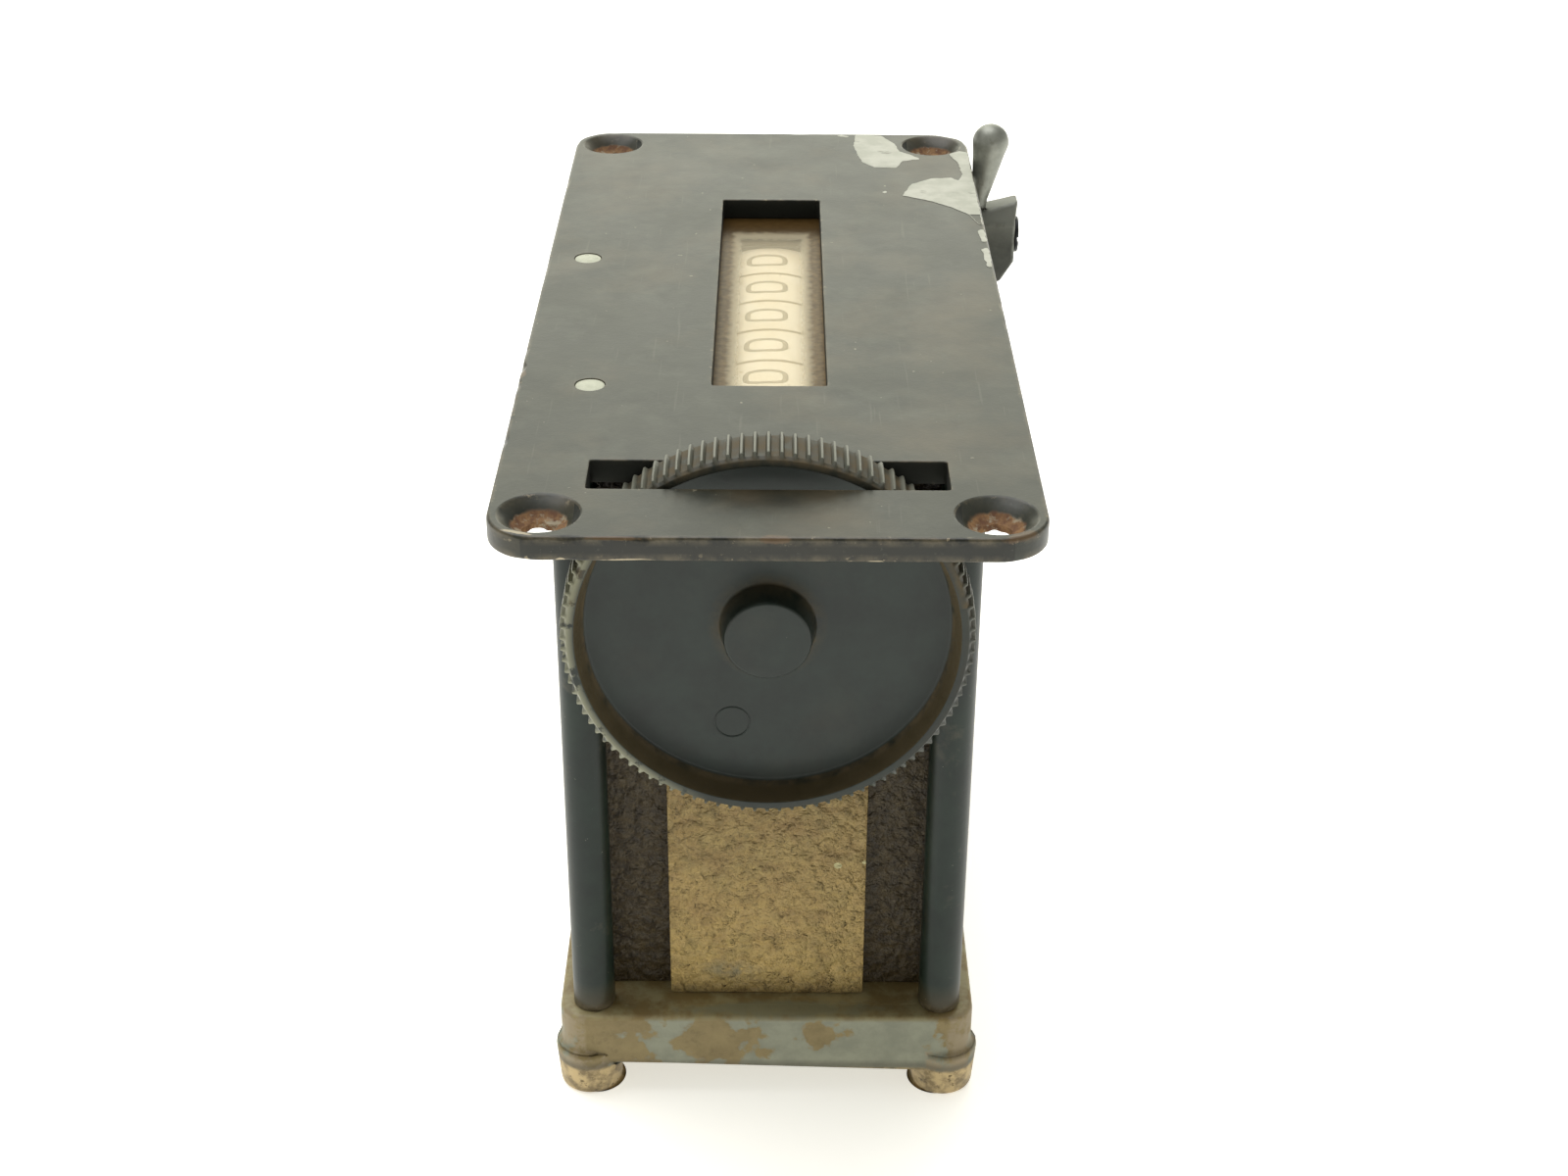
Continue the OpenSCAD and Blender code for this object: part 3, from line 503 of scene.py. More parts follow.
def coats(tree, base, *layers):
    """Colours laid one over another. A layer is its colour, the mask that says where it lies, and
    where wanted the most that it covers. A colour is a hex value or another mix."""
    for over, mask, *most in layers:
        if most:
            mask = add(tree, "Math", {0: mask, 1: most[0]}, operation="MULTIPLY")
        base, over = [srgb(c) if isinstance(c, str) else c for c in (base, over)]
        base = add(tree, "Mix", {FACTOR: mask, FIRST: base, SECOND: over}, data_type="RGBA").outputs[MIXED]
    return base


def cover(tree, colour, grains):
    """Gives the shader its colour, and relief from noises of (grain in mm, depth in mm)."""
    shader = tree.nodes["Principled BSDF"]
    tree.links.new(colour, shader.inputs["Base Color"])
    normal = {}
    for size, depth in grains:
        noise = add(tree, "TexNoise", {"Vector": tree.nodes[PLACE].outputs["Object"],
                                       "Scale": per_metre(size),
                                       "Detail": 4.0})
        normal = {"Normal": add(tree, "Bump",
                                {"Height": noise, "Distance": depth * MM, "Strength": 1.0, **normal})}
    tree.links.new(normal["Normal"].outputs[0], shader.inputs["Normal"])


# %% [markdown]
# The face plate is steel with a stoved satin enamel, nearly black. Its sheen is what makes it look
# grey from a low angle. Years of sleeves and screws have rubbed it: brown grime in soft clouds, hair
# scratches along the plate, and chips to brown primer and pale metal on the edges. Rust shows in the
# screw holes. The walls of the wheel's slot and of the window are dull, and painted shade
# darkens them and the plate's front face.
# %% Satin enamel of the face plate
PLATE_TOP = plate_high[2]
SCREW_X, SCREW_Y = 20.65, 52.4
PALE_CHIPS = [(-12.3, -57.2, 0.05, 2.3, 0.7, 0.22, 0), (-18.4, -57.2, 0.1, 0.4, 0.6, 0.25, 0),
              (9.6, -57.2, 0.05, 0.8, 0.5, 0.15, 0), (-22.3, -56.2, 2.35, 1.5, 0.22, 0.3, -20)]
BROWN_CHIPS = [(0.7, -57.1, 2.25, 1.3, 0.6, 0.4, 0), (-13.0, -57.1, 2.4, 3.0, 0.22, 0.3, 0),
               (22.5, -56.3, 2.2, 1.8, 0.5, 0.4, 30), (-25.3, -21.5, 2.3, 0.5, 1.2, 0.4, 0)]
HOLE_RUST = [(sx * SCREW_X, sy * SCREW_Y, 0.6, 3.05, 3.05, 1.5, 0) for sx in (-1, 1) for sy in (-1, 1)]
SLOT_WALL_X, SLOT_WALL_Z, END_Y, FRONT_FACE_Y = 17.6, PLATE_TOP - 0.12, -55, -56.95

stoved_enamel, tree, shader, place = start_material("stoved_satin_enamel", Roughness=0.35,
                                                    Specular_IOR_Level=0.46)
xyz = add(tree, "SeparateXYZ", {0: place})
# Masks for painted shade: the plate's front face, and the walls inside the slot and window below the top,
# which are also dulled.
front_face_painted_shade = add(tree, "Math", {0: xyz.outputs["Y"], 1: FRONT_FACE_Y * MM}, operation="LESS_THAN")
beside = add(tree, "Math", {0: xyz.outputs["X"]}, operation="ABSOLUTE")
inside = add(tree, "Math", {0: beside, 1: SLOT_WALL_X * MM}, operation="LESS_THAN")
below = add(tree, "Math", {0: xyz.outputs["Z"], 1: SLOT_WALL_Z * MM}, operation="LESS_THAN")
ahead = add(tree, "Math", {0: xyz.outputs["Y"], 1: END_Y * MM}, operation="GREATER_THAN")
cut = add(tree, "Math", {0: inside, 1: below}, operation="MULTIPLY")
cut = add(tree, "Math", {0: cut, 1: ahead}, operation="MULTIPLY")
rusty = add(tree, "Math", {0: spots(tree, HOLE_RUST, 0.5, 0.9),
                           1: rise(tree, "Z", PLATE_TOP - 0.7, PLATE_TOP - 1.2)},
            operation="MULTIPLY")
rust = coats(tree, "#63422a", ("#8c6a45", patches(tree, 0.9, 0.40, 0.62)),
             ("#a39a84", patches(tree, 1.1, 0.54, 0.64), 0.8))
colour = coats(tree, "#1d2019", ("#2a2c22", patches(tree, 8, 0.36, 0.64)),
               ("#64563f", patches(tree, 14, 0.48, 0.76), 0.42),
               ("#54574c", patches(tree, 5, 0.50, 0.72), 0.28),
               # painted shade: the plate's front face is coloured nearly black, standing in for the shade on
               # that side
               ("#121309", front_face_painted_shade, 0.8),
               ("#5a594f", patches(tree, 0.55, 0.66, 0.74, 2.0, stretch=(1.0, 0.045, 1.0)), 0.25),
               ("#8f8a78", patches(tree, 0.9, 0.75, 0.77, 2.0), 0.6),
               ("#655c48", worn(tree, "wear", 2.6, 0.42, 0.66), 0.8),
               ("#8d8168", worn(tree, "wear", 1.1, 0.62, 0.68)),
               ("#5e4a32", spots(tree, BROWN_CHIPS, 0.9, 0.6, 0.2), 0.8),
               ("#a69a80", spots(tree, PALE_CHIPS, 0.7, 0.5, 0.15)),
               # painted shade: the walls inside the slot and window are coloured nearly black
               ("#1a1d17", cut, 0.9), (rust, rusty, 0.92))
cover(tree, colour, [(0.35, 0.010), (3.0, 0.03)])
gloss = add(tree, "MapRange", {"Value": patches(tree, 9, 0.3, 0.7), "To Min": 0.32, "To Max": 0.41})
hidden = add(tree, "Math", {0: rusty, 1: cut}, operation="MAXIMUM")
dull = add(tree, "Math", {0: hidden, 1: 0.45, 2: gloss}, operation="MULTIPLY_ADD")
tree.links.new(dull.outputs[0], shader.inputs["Roughness"])
print("finish:", stoved_enamel.name)

# %% [markdown]
# The wall paint that splashed on the plate is a pale grey-green emulsion. It has a body of its own,
# so it is made as thin, domed patches lying on the enamel, and the sun has crazed it a little.
# %% Splashed wall paint
splash_paint, tree, shader, place = start_material("splashed_wall_paint", Roughness=0.6)
craze = patches(tree, 2.2, 0.66, 0.70, 3.0, stretch=(0.5, 1.0, 1.0))
cover(tree, coats(tree, "#acad9f", ("#bcbcaf", patches(tree, 3, 0.4, 0.6)), ("#6c6a5c", craze, 0.6)),
      [(0.8, 0.02), (3.0, 0.05)])
print("finish:", splash_paint.name)

# %% [markdown]
# The corner pillars are steel rods in a blue-black enamel, glossier than the plate because no hand
# reaches them. A few chips show pale. The reset wheel is a compression moulding in dark phenolic,
# a hard plastic that keeps the mould's satin skin: its dust and its paint smears are stored at its
# points when it is made, as is which part of the knurl is a ridge. The ridge tips get a painted
# highlight, strongest on the wheel's upper side.
# %% Blue-black enamel and phenolic
FLOOR_Z = house_low[2]  # where the pillars and the housing stand on the base
pillar_enamel, tree, shader, place = start_material("blue_black_enamel", Roughness=0.36,
                                                    Specular_IOR_Level=0.34)
cover(tree, coats(tree, "#101b17", ("#18261f", patches(tree, 6, 0.38, 0.62)),
                  ("#4a463a", patches(tree, 4, 0.6, 0.72), 0.5),
                  ("#8d8a78", patches(tree, 1.3, 0.70, 0.72), 0.8),
                  ("#7a7464", worn(tree, "wear", 1.4, 0.42, 0.55)),
                  ("#5a4d35", rise(tree, "Z", FLOOR_Z + 3.8, FLOOR_Z), 0.6)), [(0.5, 0.008), (5.0, 0.04)])

phenolic, tree, shader, place = start_material("moulded_phenolic", Roughness=0.42, Specular_IOR_Level=0.4)
dust, ridge = [add(tree, "Attribute", attribute_name=value).outputs["Fac"] for value in ("dust", "ridge")]
dusty = worn(tree, "dust", 1.8, 0.28, 0.6)
thick = add(tree, "MapRange", {"Value": dust, "From Min": 0.92, "From Max": 0.99})
cover(tree, coats(tree, "#131c18", ("#1c2722", patches(tree, 5, 0.36, 0.64)),
                  ("#39362a", patches(tree, 9, 0.52, 0.75), 0.25),
                  ("#7d7a6c", patches(tree, 0.8, 0.735, 0.76), 0.6),
                  # painted highlight: the knurl's ridge tips are coloured pale, most on the wheel's upper
                  # side
                  ("#5f523a", dusty, 0.92), ("#4b4129", thick, 0.85), ("#7f7f72", ridge, 0.8),
                  ("#85856f", worn(tree, "smear", 1.5, 0.38, 0.46), 0.9)), [(0.6, 0.008), (6.0, 0.05)])
gloss = add(tree, "MapRange", {"Value": dusty, "To Min": 0.4, "To Max": 0.85})
tree.links.new(gloss.outputs[0], shader.inputs["Roughness"])
print("finishes:", pillar_enamel.name, phenolic.name)

# %% [markdown]
# The housing's proud panels wear a crackle enamel, a paint that wrinkles as it is stoved: small
# swollen islands with creases between them, about a millimetre apart. Cell noise gives the creases,
# stretched a little sideways, and paints shade into them. Lighter patches of the same size are painted
# highlights of the lumps, and the panels are painted lighter towards the bottom, as light from the floor.
# The walls set back behind the panels never see a cloth, and are brown with oily dust. Which is which
# is read from the distance to the walls.
# %% Crackle enamel of the housing
STEP_BACK = 1.95  # from the face of a panel to the wall behind it
PANEL_Y = house_high[1] - STEP_BACK / 2
GREY_RUBS = [(-4.0, -38, -61.0, 2.4, 1.5, 1.2, 0), (0, -38, -34.0, 9.5, 1.5, 0.8, 0)]
PAINT_DROPS = [(7.5, -38, -47, 0.42, 3, 0.36, 0), (10.3, -38, -46.6, 0.22, 3, 0.22, 0)]
crackle, tree, shader, place = start_material("crackle_enamel", Roughness=0.55)
xyz = add(tree, "SeparateXYZ", {0: place})
ragged = add(tree, "TexNoise", {"Vector": place, "Scale": per_metre(0.8), "Detail": 3.0})
proud = []
for axis, start, end in (("Y", PANEL_Y + 0.6, PANEL_Y + 1.2),
                         ("X", house_high[0] - 0.4, house_high[0] + 0.2)):
    away = add(tree, "Math", {0: xyz.outputs[axis]}, operation="ABSOLUTE")
    away = add(tree, "Math", {0: ragged, 1: 1.6 * MM, 2: away}, operation="MULTIPLY_ADD")
    proud.append(add(tree, "MapRange", {"Value": away, "From Min": start * MM, "From Max": end * MM}))
proud = add(tree, "Math", {0: proud[0], 1: proud[1]}, operation="MAXIMUM")
bent = add(tree, "TexNoise", {"Vector": place, "Scale": per_metre(1.7), "Detail": 3.0})
bent = add(tree, "VectorMath", {0: bent.outputs["Color"], 1: [2.2 * MM] * 3, 2: place},
           operation="MULTIPLY_ADD")
flattened = add(tree, "Mapping", {"Vector": bent, "Scale": (0.62, 0.62, 1.0)})
cells = add(tree, "TexVoronoi", {"Vector": flattened, "Scale": per_metre(1.0)}, feature="DISTANCE_TO_EDGE")
island = add(tree, "MapRange", {"Value": cells.outputs["Distance"], "From Min": 0.0, "From Max": 0.2})
crease = add(tree, "MapRange", {"Value": cells.outputs["Distance"], "From Min": 0.075, "From Max": 0.015})
some = patches(tree, 1.0, 0.50, 0.64)
crease = add(tree, "Math", {0: crease, 1: some}, operation="MULTIPLY")
rub = add(tree, "Math", {0: spots(tree, GREY_RUBS, 1.2, 2.4, 0.5), 1: patches(tree, 1.2, 0.35, 0.6)},
          operation="MULTIPLY")
tan = coats(tree, "#7b663a", ("#917a4a", patches(tree, 5, 0.35, 0.65)),
            # painted light: the panels grow lighter towards the bottom, standing in for light from the floor
            ("#c4a869", rise(tree, "Z", -40, -62), 0.8),
            ("#6f683f", patches(tree, 2.6, 0.46, 0.66), 0.35),
            # painted highlight: lighter patches about a millimetre across stand in for the light on the
            # crackle's lumps
            ("#a8925c", patches(tree, 1.2, 0.46, 0.62), 0.45),
            ("#7a5f3a", patches(tree, 3.4, 0.48, 0.66), 0.4),
            # painted shade: the crackle's creases are coloured darker
            ("#54472a", crease, 0.36), ("#7b7a66", rub, 0.7),
            ("#c9c290", spots(tree, PAINT_DROPS, 0.5, 0.5, 0.1)))
colour = coats(tree, "#2b2212", ("#463a20", patches(tree, 1.2, 0.35, 0.65)),
               ("#5a4f36", patches(tree, 0.7, 0.56, 0.7), 0.6), (tan, proud),
               ("#a08a5c", worn(tree, "wear", 1.2, 0.45, 0.6), 0.5),
               ("#4d4128", rise(tree, "Z", FLOOR_Z + 2.8, FLOOR_Z), 0.5))
tree.links.new(colour, shader.inputs["Base Color"])
swell = add(tree, "Math", {0: island, 1: some}, operation="MULTIPLY")
swell = add(tree, "Math", {0: swell, 1: proud}, operation="MULTIPLY")
relief = add(tree, "Bump", {"Height": swell, "Distance": 0.18 * MM, "Strength": 1.0})
for grain, depth, detail in ((1.3, 1.5, 3.0), (0.45, 0.14, 4.0)):  # soft lumps, then grit
    noise = add(tree, "TexNoise", {"Vector": place, "Scale": per_metre(grain), "Detail": detail})
    relief = add(tree, "Bump", {"Height": noise, "Distance": depth * MM, "Strength": 1.0, "Normal": relief})
tree.links.new(relief.outputs[0], shader.inputs["Normal"])
print("finish:", crackle.name)

# %% [markdown]
# The base is a small casting in grey-blue paint that has worn to a tan undercoat in broad, map-like
# patches. Dirt lies on its top where the walls meet it. Its feet are bare metal, scuffed bright where
# it has been set down, with oxide in the hollows.
# %% Worn casting of the base
FOOT_H = 3.9
BASE_TOP, BASE_BOTTOM = house_low[2], base_low[2] + FOOT_H
WORN = [(-17.6, -42.1, -67.5, 6.6, 3, 6.0, 0), (-5.4, -42.1, -67.8, 4.6, 3, 3.2, 0),
        (6.2, -42.1, -66.8, 2.4, 3, 1.6, 0), (20.9, -42.1, -66.5, 2.6, 4, 4.0, 0)]
GREENISH = [(1.5, -40.6, -64.3, 9.5, 1.4, 1, 0)]
casting, tree, shader, place = start_material("painted_casting", Roughness=0.5)
apart = add(tree, "SeparateXYZ", {0: place})
behind = add(tree, "Math", {0: apart.outputs["Y"], 1: -39 * MM}, operation="GREATER_THAN")
elsewhere = add(tree, "Math", {0: behind, 1: patches(tree, 11, 0.44, 0.49, 4.0)}, operation="MULTIPLY")
bare = add(tree, "Math", {0: elsewhere, 1: spots(tree, WORN, 3.0, 2.4, 0.10)}, operation="MAXIMUM")
undercoat = coats(tree, "#7a6a42", ("#8b7b50", patches(tree, 3.5, 0.35, 0.65)),
                  ("#6b5a38", patches(tree, 1.2, 0.52, 0.7), 0.6))
dirt = coats(tree, "#867348", ("#a39870", patches(tree, 2.5, 0.4, 0.6)),
             ("#8b8c74", spots(tree, GREENISH, 1.2, 1.5, 0.25), 0.85))
metal = coats(tree, "#7f6d48", ("#bca87f", patches(tree, 1.6, 0.42, 0.58)),
              ("#4c3e28", patches(tree, 0.9, 0.6, 0.68), 0.8))
foot = rise(tree, "Z", BASE_BOTTOM - 0.1, BASE_BOTTOM - 0.5)
cover(tree, coats(tree, "#7f816f", ("#8c8e7a", patches(tree, 3, 0.4, 0.6)), (undercoat, bare),
                  (dirt, rise(tree, "Z", BASE_TOP - 0.55, BASE_TOP - 0.1), 0.9),
                  ("#94866a", worn(tree, "wear", 2.0, 0.42, 0.56), 0.85),
                  # painted shade: the base is coloured darker along its lowest edge, above the feet
                  ("#3b3424", rise(tree, "Z", BASE_BOTTOM + 0.9, BASE_BOTTOM + 0.2), 0.5),
                  (metal, foot)), [(0.6, 0.03), (3.0, 0.12)])
shine = add(tree, "Math", {0: foot, 1: patches(tree, 1.6, 0.42, 0.58)}, operation="MULTIPLY")
shine = add(tree, "Math", {0: shine, 1: 0.75}, operation="MULTIPLY")
tree.links.new(shine.outputs[0], shader.inputs["Metallic"])
print("finish:", casting.name)

# %% [markdown]
# The remaining finishes are simpler, but each has its own grain. Plain steel parts are rolled or
# turned, with faint brushing and a brown film. Bushes and pinions are turned brass. The drums are
# cream enamel gone yellow.
# %% Metals and cream enamel
steel, tree, shader, place = start_material("rolled_steel", Metallic=0.9, Roughness=0.42)
cover(tree, coats(tree, "#8f8c82", ("#a3a096", patches(tree, 3, 0.35, 0.65, stretch=(1, 0.1, 1))),
                  ("#6a5638", patches(tree, 6, 0.52, 0.72), 0.6)), [(0.4, 0.008)])

brass, tree, shader, place = start_material("turned_brass", Metallic=0.95, Roughness=0.35)
cover(tree, coats(tree, "#a8894c", ("#8a6c3a", patches(tree, 2.5, 0.42, 0.66))), [(0.3, 0.006)])

spring_steel, tree, shader, place = start_material("drawn_spring_wire", Metallic=0.95, Roughness=0.3)
cover(tree, coats(tree, "#7f8182", ("#5d584e", patches(tree, 1.8, 0.45, 0.65))), [(0.25, 0.006)])

black_steel, tree, shader, place = start_material("blackened_steel", Metallic=0.6, Roughness=0.4)
cover(tree, coats(tree, "#26292d", ("#3a3c3d", patches(tree, 1.5, 0.4, 0.65))), [(0.3, 0.008)])

lever_casting, tree, shader, place = start_material("worn_lever_casting_painted_highlight", Metallic=0.2, Roughness=0.5)
cover(tree, coats(tree, "#33352f", ("#4a4c44", patches(tree, 4, 0.36, 0.64)),
                  ("#5a4e3c", patches(tree, 3, 0.56, 0.72), 0.6),
                  # painted highlight: the upper part of the lever block is coloured lighter, as if lit
                  ("#73756c", rise(tree, "Z", -8.2, -4.8), 0.85),
                  ("#7c7e76", worn(tree, "wear", 1.8, 0.40, 0.54), 0.6)), [(0.5, 0.02), (3.0, 0.08)])

finger_metal, tree, shader, place = start_material("rubbed_finger_metal", Metallic=0.4, Roughness=0.42)
cover(tree, coats(tree, "#787a72", ("#94968d", patches(tree, 3, 0.36, 0.64)),
                  ("#55503f", patches(tree, 2.2, 0.58, 0.72), 0.6)), [(0.4, 0.012), (2.5, 0.04)])

plug_paint, tree, shader, place = start_material("overpainted_plug", Roughness=0.5)
cover(tree, coats(tree, "#b0b29e", ("#bdbfab", patches(tree, 0.9, 0.4, 0.6)),
                  ("#6d6a58", patches(tree, 0.5, 0.64, 0.7))), [(0.3, 0.01)])

cream, tree, shader, place = start_material("aged_cream_enamel", Roughness=0.3)
cover(tree, coats(tree, "#faf1da", ("#f0e3c4", patches(tree, 4, 0.4, 0.66)),
                  ("#b79f70", patches(tree, 1.0, 0.66, 0.72), 0.7)), [(0.5, 0.01)])

figure_paint, tree, shader, place = start_material("figure_paint", Roughness=0.55)
cover(tree, coats(tree, "#968c70", ("#a99e80", patches(tree, 0.8, 0.38, 0.62))), [(0.3, 0.01)])
print("finishes:", steel.name, brass.name, cream.name, figure_paint.name)

# %% [markdown]
# The pane is a clear sheet of cellulose acetate that has yellowed. Dust lies round its border, so its
# alpha rises from nearly clear in the middle to solid there, and noise makes the border uneven.
# %% Yellowed acetate of the pane
WINDOW_HALF_W, DUST_W = 5.85, 1.75
pane_y = ((pane_low + pane_high) / 2)[1]
PANE_HALF_L = (pane_high - pane_low)[1] / 2 - 1.0
side, end = WINDOW_HALF_W - DUST_W, pane_y + PANE_HALF_L
acetate, tree, shader, place = start_material("yellowed_acetate", Roughness=0.3, IOR=1.49,
                                              Specular_IOR_Level=0.15)
xyz = add(tree, "SeparateXYZ", {0: place})
wobble = add(tree, "TexNoise", {"Vector": place, "Scale": per_metre(1.1), "Detail": 6.0})
beside = add(tree, "Math", {0: xyz.outputs["X"]}, operation="ABSOLUTE")
dusts = []
for at, uneven, first, last in ((beside, 1.1, side - 0.35, side + 1.35),
                                (xyz.outputs["Y"], 1.6, end - 7.2, end - 3.4)):
    at = add(tree, "Math", {0: wobble, 1: uneven * MM, 2: at}, operation="MULTIPLY_ADD")
    dusts.append(add(tree, "MapRange", {"Value": at, "From Min": first * MM, "From Max": last * MM},
                     interpolation_type="SMOOTHSTEP"))
dust_all = add(tree, "Math", {0: dusts[0], 1: dusts[1]}, operation="MAXIMUM")
dust_all = add(tree, "Math", {0: dust_all, 1: patches(tree, 0.8, 0.70, 0.73)}, operation="MAXIMUM")
brown = coats(tree, "#4f3d20", ("#6f5935", patches(tree, 0.9, 0.36, 0.64)), ("#3a2a12", dusts[1], 0.8))
tree.links.new(coats(tree, "#f3e6c4", (brown, dust_all)), shader.inputs["Base Color"])
solid = add(tree, "MapRange", {"Value": dust_all, "To Min": 0.23, "To Max": 1.0})
tree.links.new(solid.outputs[0], shader.inputs["Alpha"])
print("finish:", acetate.name)

# %% [markdown]
# ## Face plate
# The plate is blanked from sheet, pierced and countersunk, then painted. Its outline, window, slot,
# holes and edge profiles are one skin. The rim has extra rows inland, so that the wear can fade out
# over the first millimetres, and its edge is chipped by seeded noise.
# %% Build the face plate
bottom, top = plate_low[2], plate_high[2]
PLATE_SIZE = (plate_high - plate_low)[:2]
CORNER_R, RIM_ROUND, HOLE_ROUND = 4.8, 0.32, 0.16
rim = even(rectangle((0, 0), PLATE_SIZE, CORNER_R, 16), 0.6)
chips = np.clip(ripple(len(rim), 90, 3) * 0.5 + ripple(len(rim), 14, 5) * 0.35 - 0.12, 0, 1) * 0.38
INLAND = [(0.22, 0.0)]
loops = [(rim, 1, edge_rows(top, bottom, RIM_ROUND, 0.25, inland=INLAND), chips)]
window = even(rectangle((0, pane_y), (2 * WINDOW_HALF_W, 2 * PANE_HALF_L), 0.35, 4), 0.8)
window_chips = np.clip(ripple(len(window), 60, 8) * 0.4 - 0.12, 0, 1) * 0.2
SLOT_SIZE = (33.7, 5.97)
WHEEL_W = 4.93  # the reset wheel, from its front to its back
slot_y = wheel_low[1] + WHEEL_W / 2
slot = even(rectangle((0, slot_y), SLOT_SIZE, 0.3, 4), 0.8)
for outline in (window, slot):
    rag = window_chips if outline is window else None
    loops.append((outline, -1, edge_rows(top, bottom, HOLE_ROUND, 0.1, inland=[(0.7, 0.0), (0.25, 0.1)]),
                  rag))
SINK_R, HOLE_R, CRUST = 3.8, 2.15, 0.9
sink_rows = [(-0.15, top, 0.0, 0, 0), (0.0, top - 0.05, 0.8, 0, 0), (0.12, top - 0.16, 0.6, 0, 0)]
sink_rows += [(SINK_R - r, top - (SINK_R - r) - 0.02, w, 0.2, 0) for r,
              w in ((3.4, 0.2), (2.8, 0.0), (2.3, 0.2))]
sink_rows += [(SINK_R - HOLE_R, h, w, 1, 0) for h, w in ((0.62, 0.2), (0.4, 0.2), (0.25, 0), (0.1, 0))]
sink_rows += [(SINK_R - HOLE_R, 0.0, 0.3, 1, 0)]
for sx in (-1, 1):
    for sy in (-1, 1):
        crust = CRUST * (0.7 + 0.3 * ripple(72, 9, 20 + sx + 2 * sy))
        loops.append((circle((sx * SCREW_X, sy * SCREW_Y), SINK_R, 72), -1, sink_rows, crust))
PLUGS = [(-18.1, -24.15), (-20.9, 11.2)]
PLUG_R = 1.55
plug_hole = [(-0.3, top, 0.0, 0, 0), (-0.03, top, 0.5, 0, 0), (0, top - 0.05, 0.5, 0, 0), (0, 1.2, 0, 0, 0),
             (0, bottom, 0, 0, 0)]
loops += [(circle(p, PLUG_R, 48), -1, plug_hole, None) for p in PLUGS]
points, faces, wear = pierced_plate(loops)
face_plate = make_piece("painted_face_plate", points, faces, stoved_enamel, "case",
                        {"wear": wear}, level_flat=True)
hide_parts("face_plate")

# %% [markdown]
# The splashes are drawn as rough outlines, rounded and made ragged by noise, as drips that were
# scraped off dry. Each is a skin a few hundredths of a millimetre thick.
# %% Lay the splashed paint on the plate
SPLASHES = [
    [(11.0, 56.6), (10.6, 52.0), (11.0, 48.6), (11.6, 45.4), (13.0, 43.6), (15.8, 43.4), (16.6, 46.0),
     (19.0, 46.9),
     (18.0, 48.4), (16.4, 50.0), (16.0, 53.0), (14.4, 56.2), (12.8, 56.7)],
    [(16.2, 33.0), (17.4, 37.0), (20.0, 39.2), (22.4, 39.6), (23.4, 38.4), (24.1, 41.0), (23.8, 45.6),
     (22.9, 48.9),
     (24.2, 50.0), (25.1, 49.6), (25.1, 30.0), (25.1, 22.0), (24.6, 23.6), (23.8, 26.4), (21.8, 29.0),
     (19.6, 31.0)],
    [(24.5, 20.6), (25.1, 21.4), (25.1, 17.0), (24.7, 17.2)],
    [(24.5, 14.6), (25.1, 15.2), (25.1, 7.6), (24.7, 9.6)],
    [(13.7, 34.0), (14.1, 33.9), (14.3, 34.4), (13.9, 34.7)],
    [(8.4, 56.2), (9.6, 55.6), (10.2, 56.0), (9.2, 56.6)],
]
PAINT_T = 0.035
points, faces, first = [], [], 0
for k, corners in enumerate(SPLASHES):
    outline = even(fillet(corners, 0.16, 4), 0.22)
    along = unit(np.roll(outline, -1, 0) - np.roll(outline, 1, 0))
    shiver = 0.09 * ripple(len(outline), max(4, len(outline) // 5), 40 + k)[:, None]
    outline = outline + shiver * np.column_stack([along[:, 1], -along[:, 0]])
    outline[:, 0] = np.minimum(outline[:, 0], plate_high[0] - 0.2)
    rows = [(-0.10, top + PAINT_T, 0, 0, 0), (-0.05, top + 0.8 * PAINT_T, 0, 0, 0),
            (0, top + 0.3 * PAINT_T, 0, 0, 0),
            (0, top - 0.02, 0, 0, 0)]
    skin, quads, _ = pierced_plate([(outline, 1, rows, None)])
    points.append(skin)
    faces += [q + first for q in quads]
    first += len(skin)
make_piece("splashed_paint", np.concatenate(points), faces, splash_paint, "case", crease=60)

# %% [markdown]
# Two flush discs stop spare holes at the left of the plate. Each was pressed in, filed and painted
# over, so it sits a hair below the surface, with a soft rim.
# %% Build the blanking plugs
plug_parts = []
plug_faces = []
for k, (x, y) in enumerate(PLUGS):
    profile = np.array([(0, top - 0.02), (0.7, top - 0.03), (1.3, top - 0.05), (1.46, top - 0.09),
                        (1.53, top - 0.2),
                        (1.54, 1.0), (1.54, 0.1), (1.45, 0.0), (0.7, 0.0), (0, 0.0)])
    points, quads = revolve(profile, 48, (x, y))
    plug_faces += [q + k * points.shape[0] * points.shape[1] for q in quads]
    plug_parts.append(points.reshape(-1, 3))
plugs = make_piece("flush_plugs", np.concatenate(plug_parts), plug_faces, plug_paint, "case")
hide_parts("blanking_plugs")

# %% [markdown]
# The pane is a slip of clear sheet held under the window by a folded retainer. Its edges are cut with
# shears and a little rounded.
# %% Build the pane
outline = even(rectangle((0, pane_y), (pane_high - pane_low)[:2], 0.5, 5), 1.2)
points, faces, _ = pierced_plate([(outline, 1, edge_rows(pane_high[2] - 0.005, pane_low[2], 0.1, 0.1), None)])
pane = make_piece("window_sheet", points, faces, acetate, "case", level_flat=True)
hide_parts("window_pane")

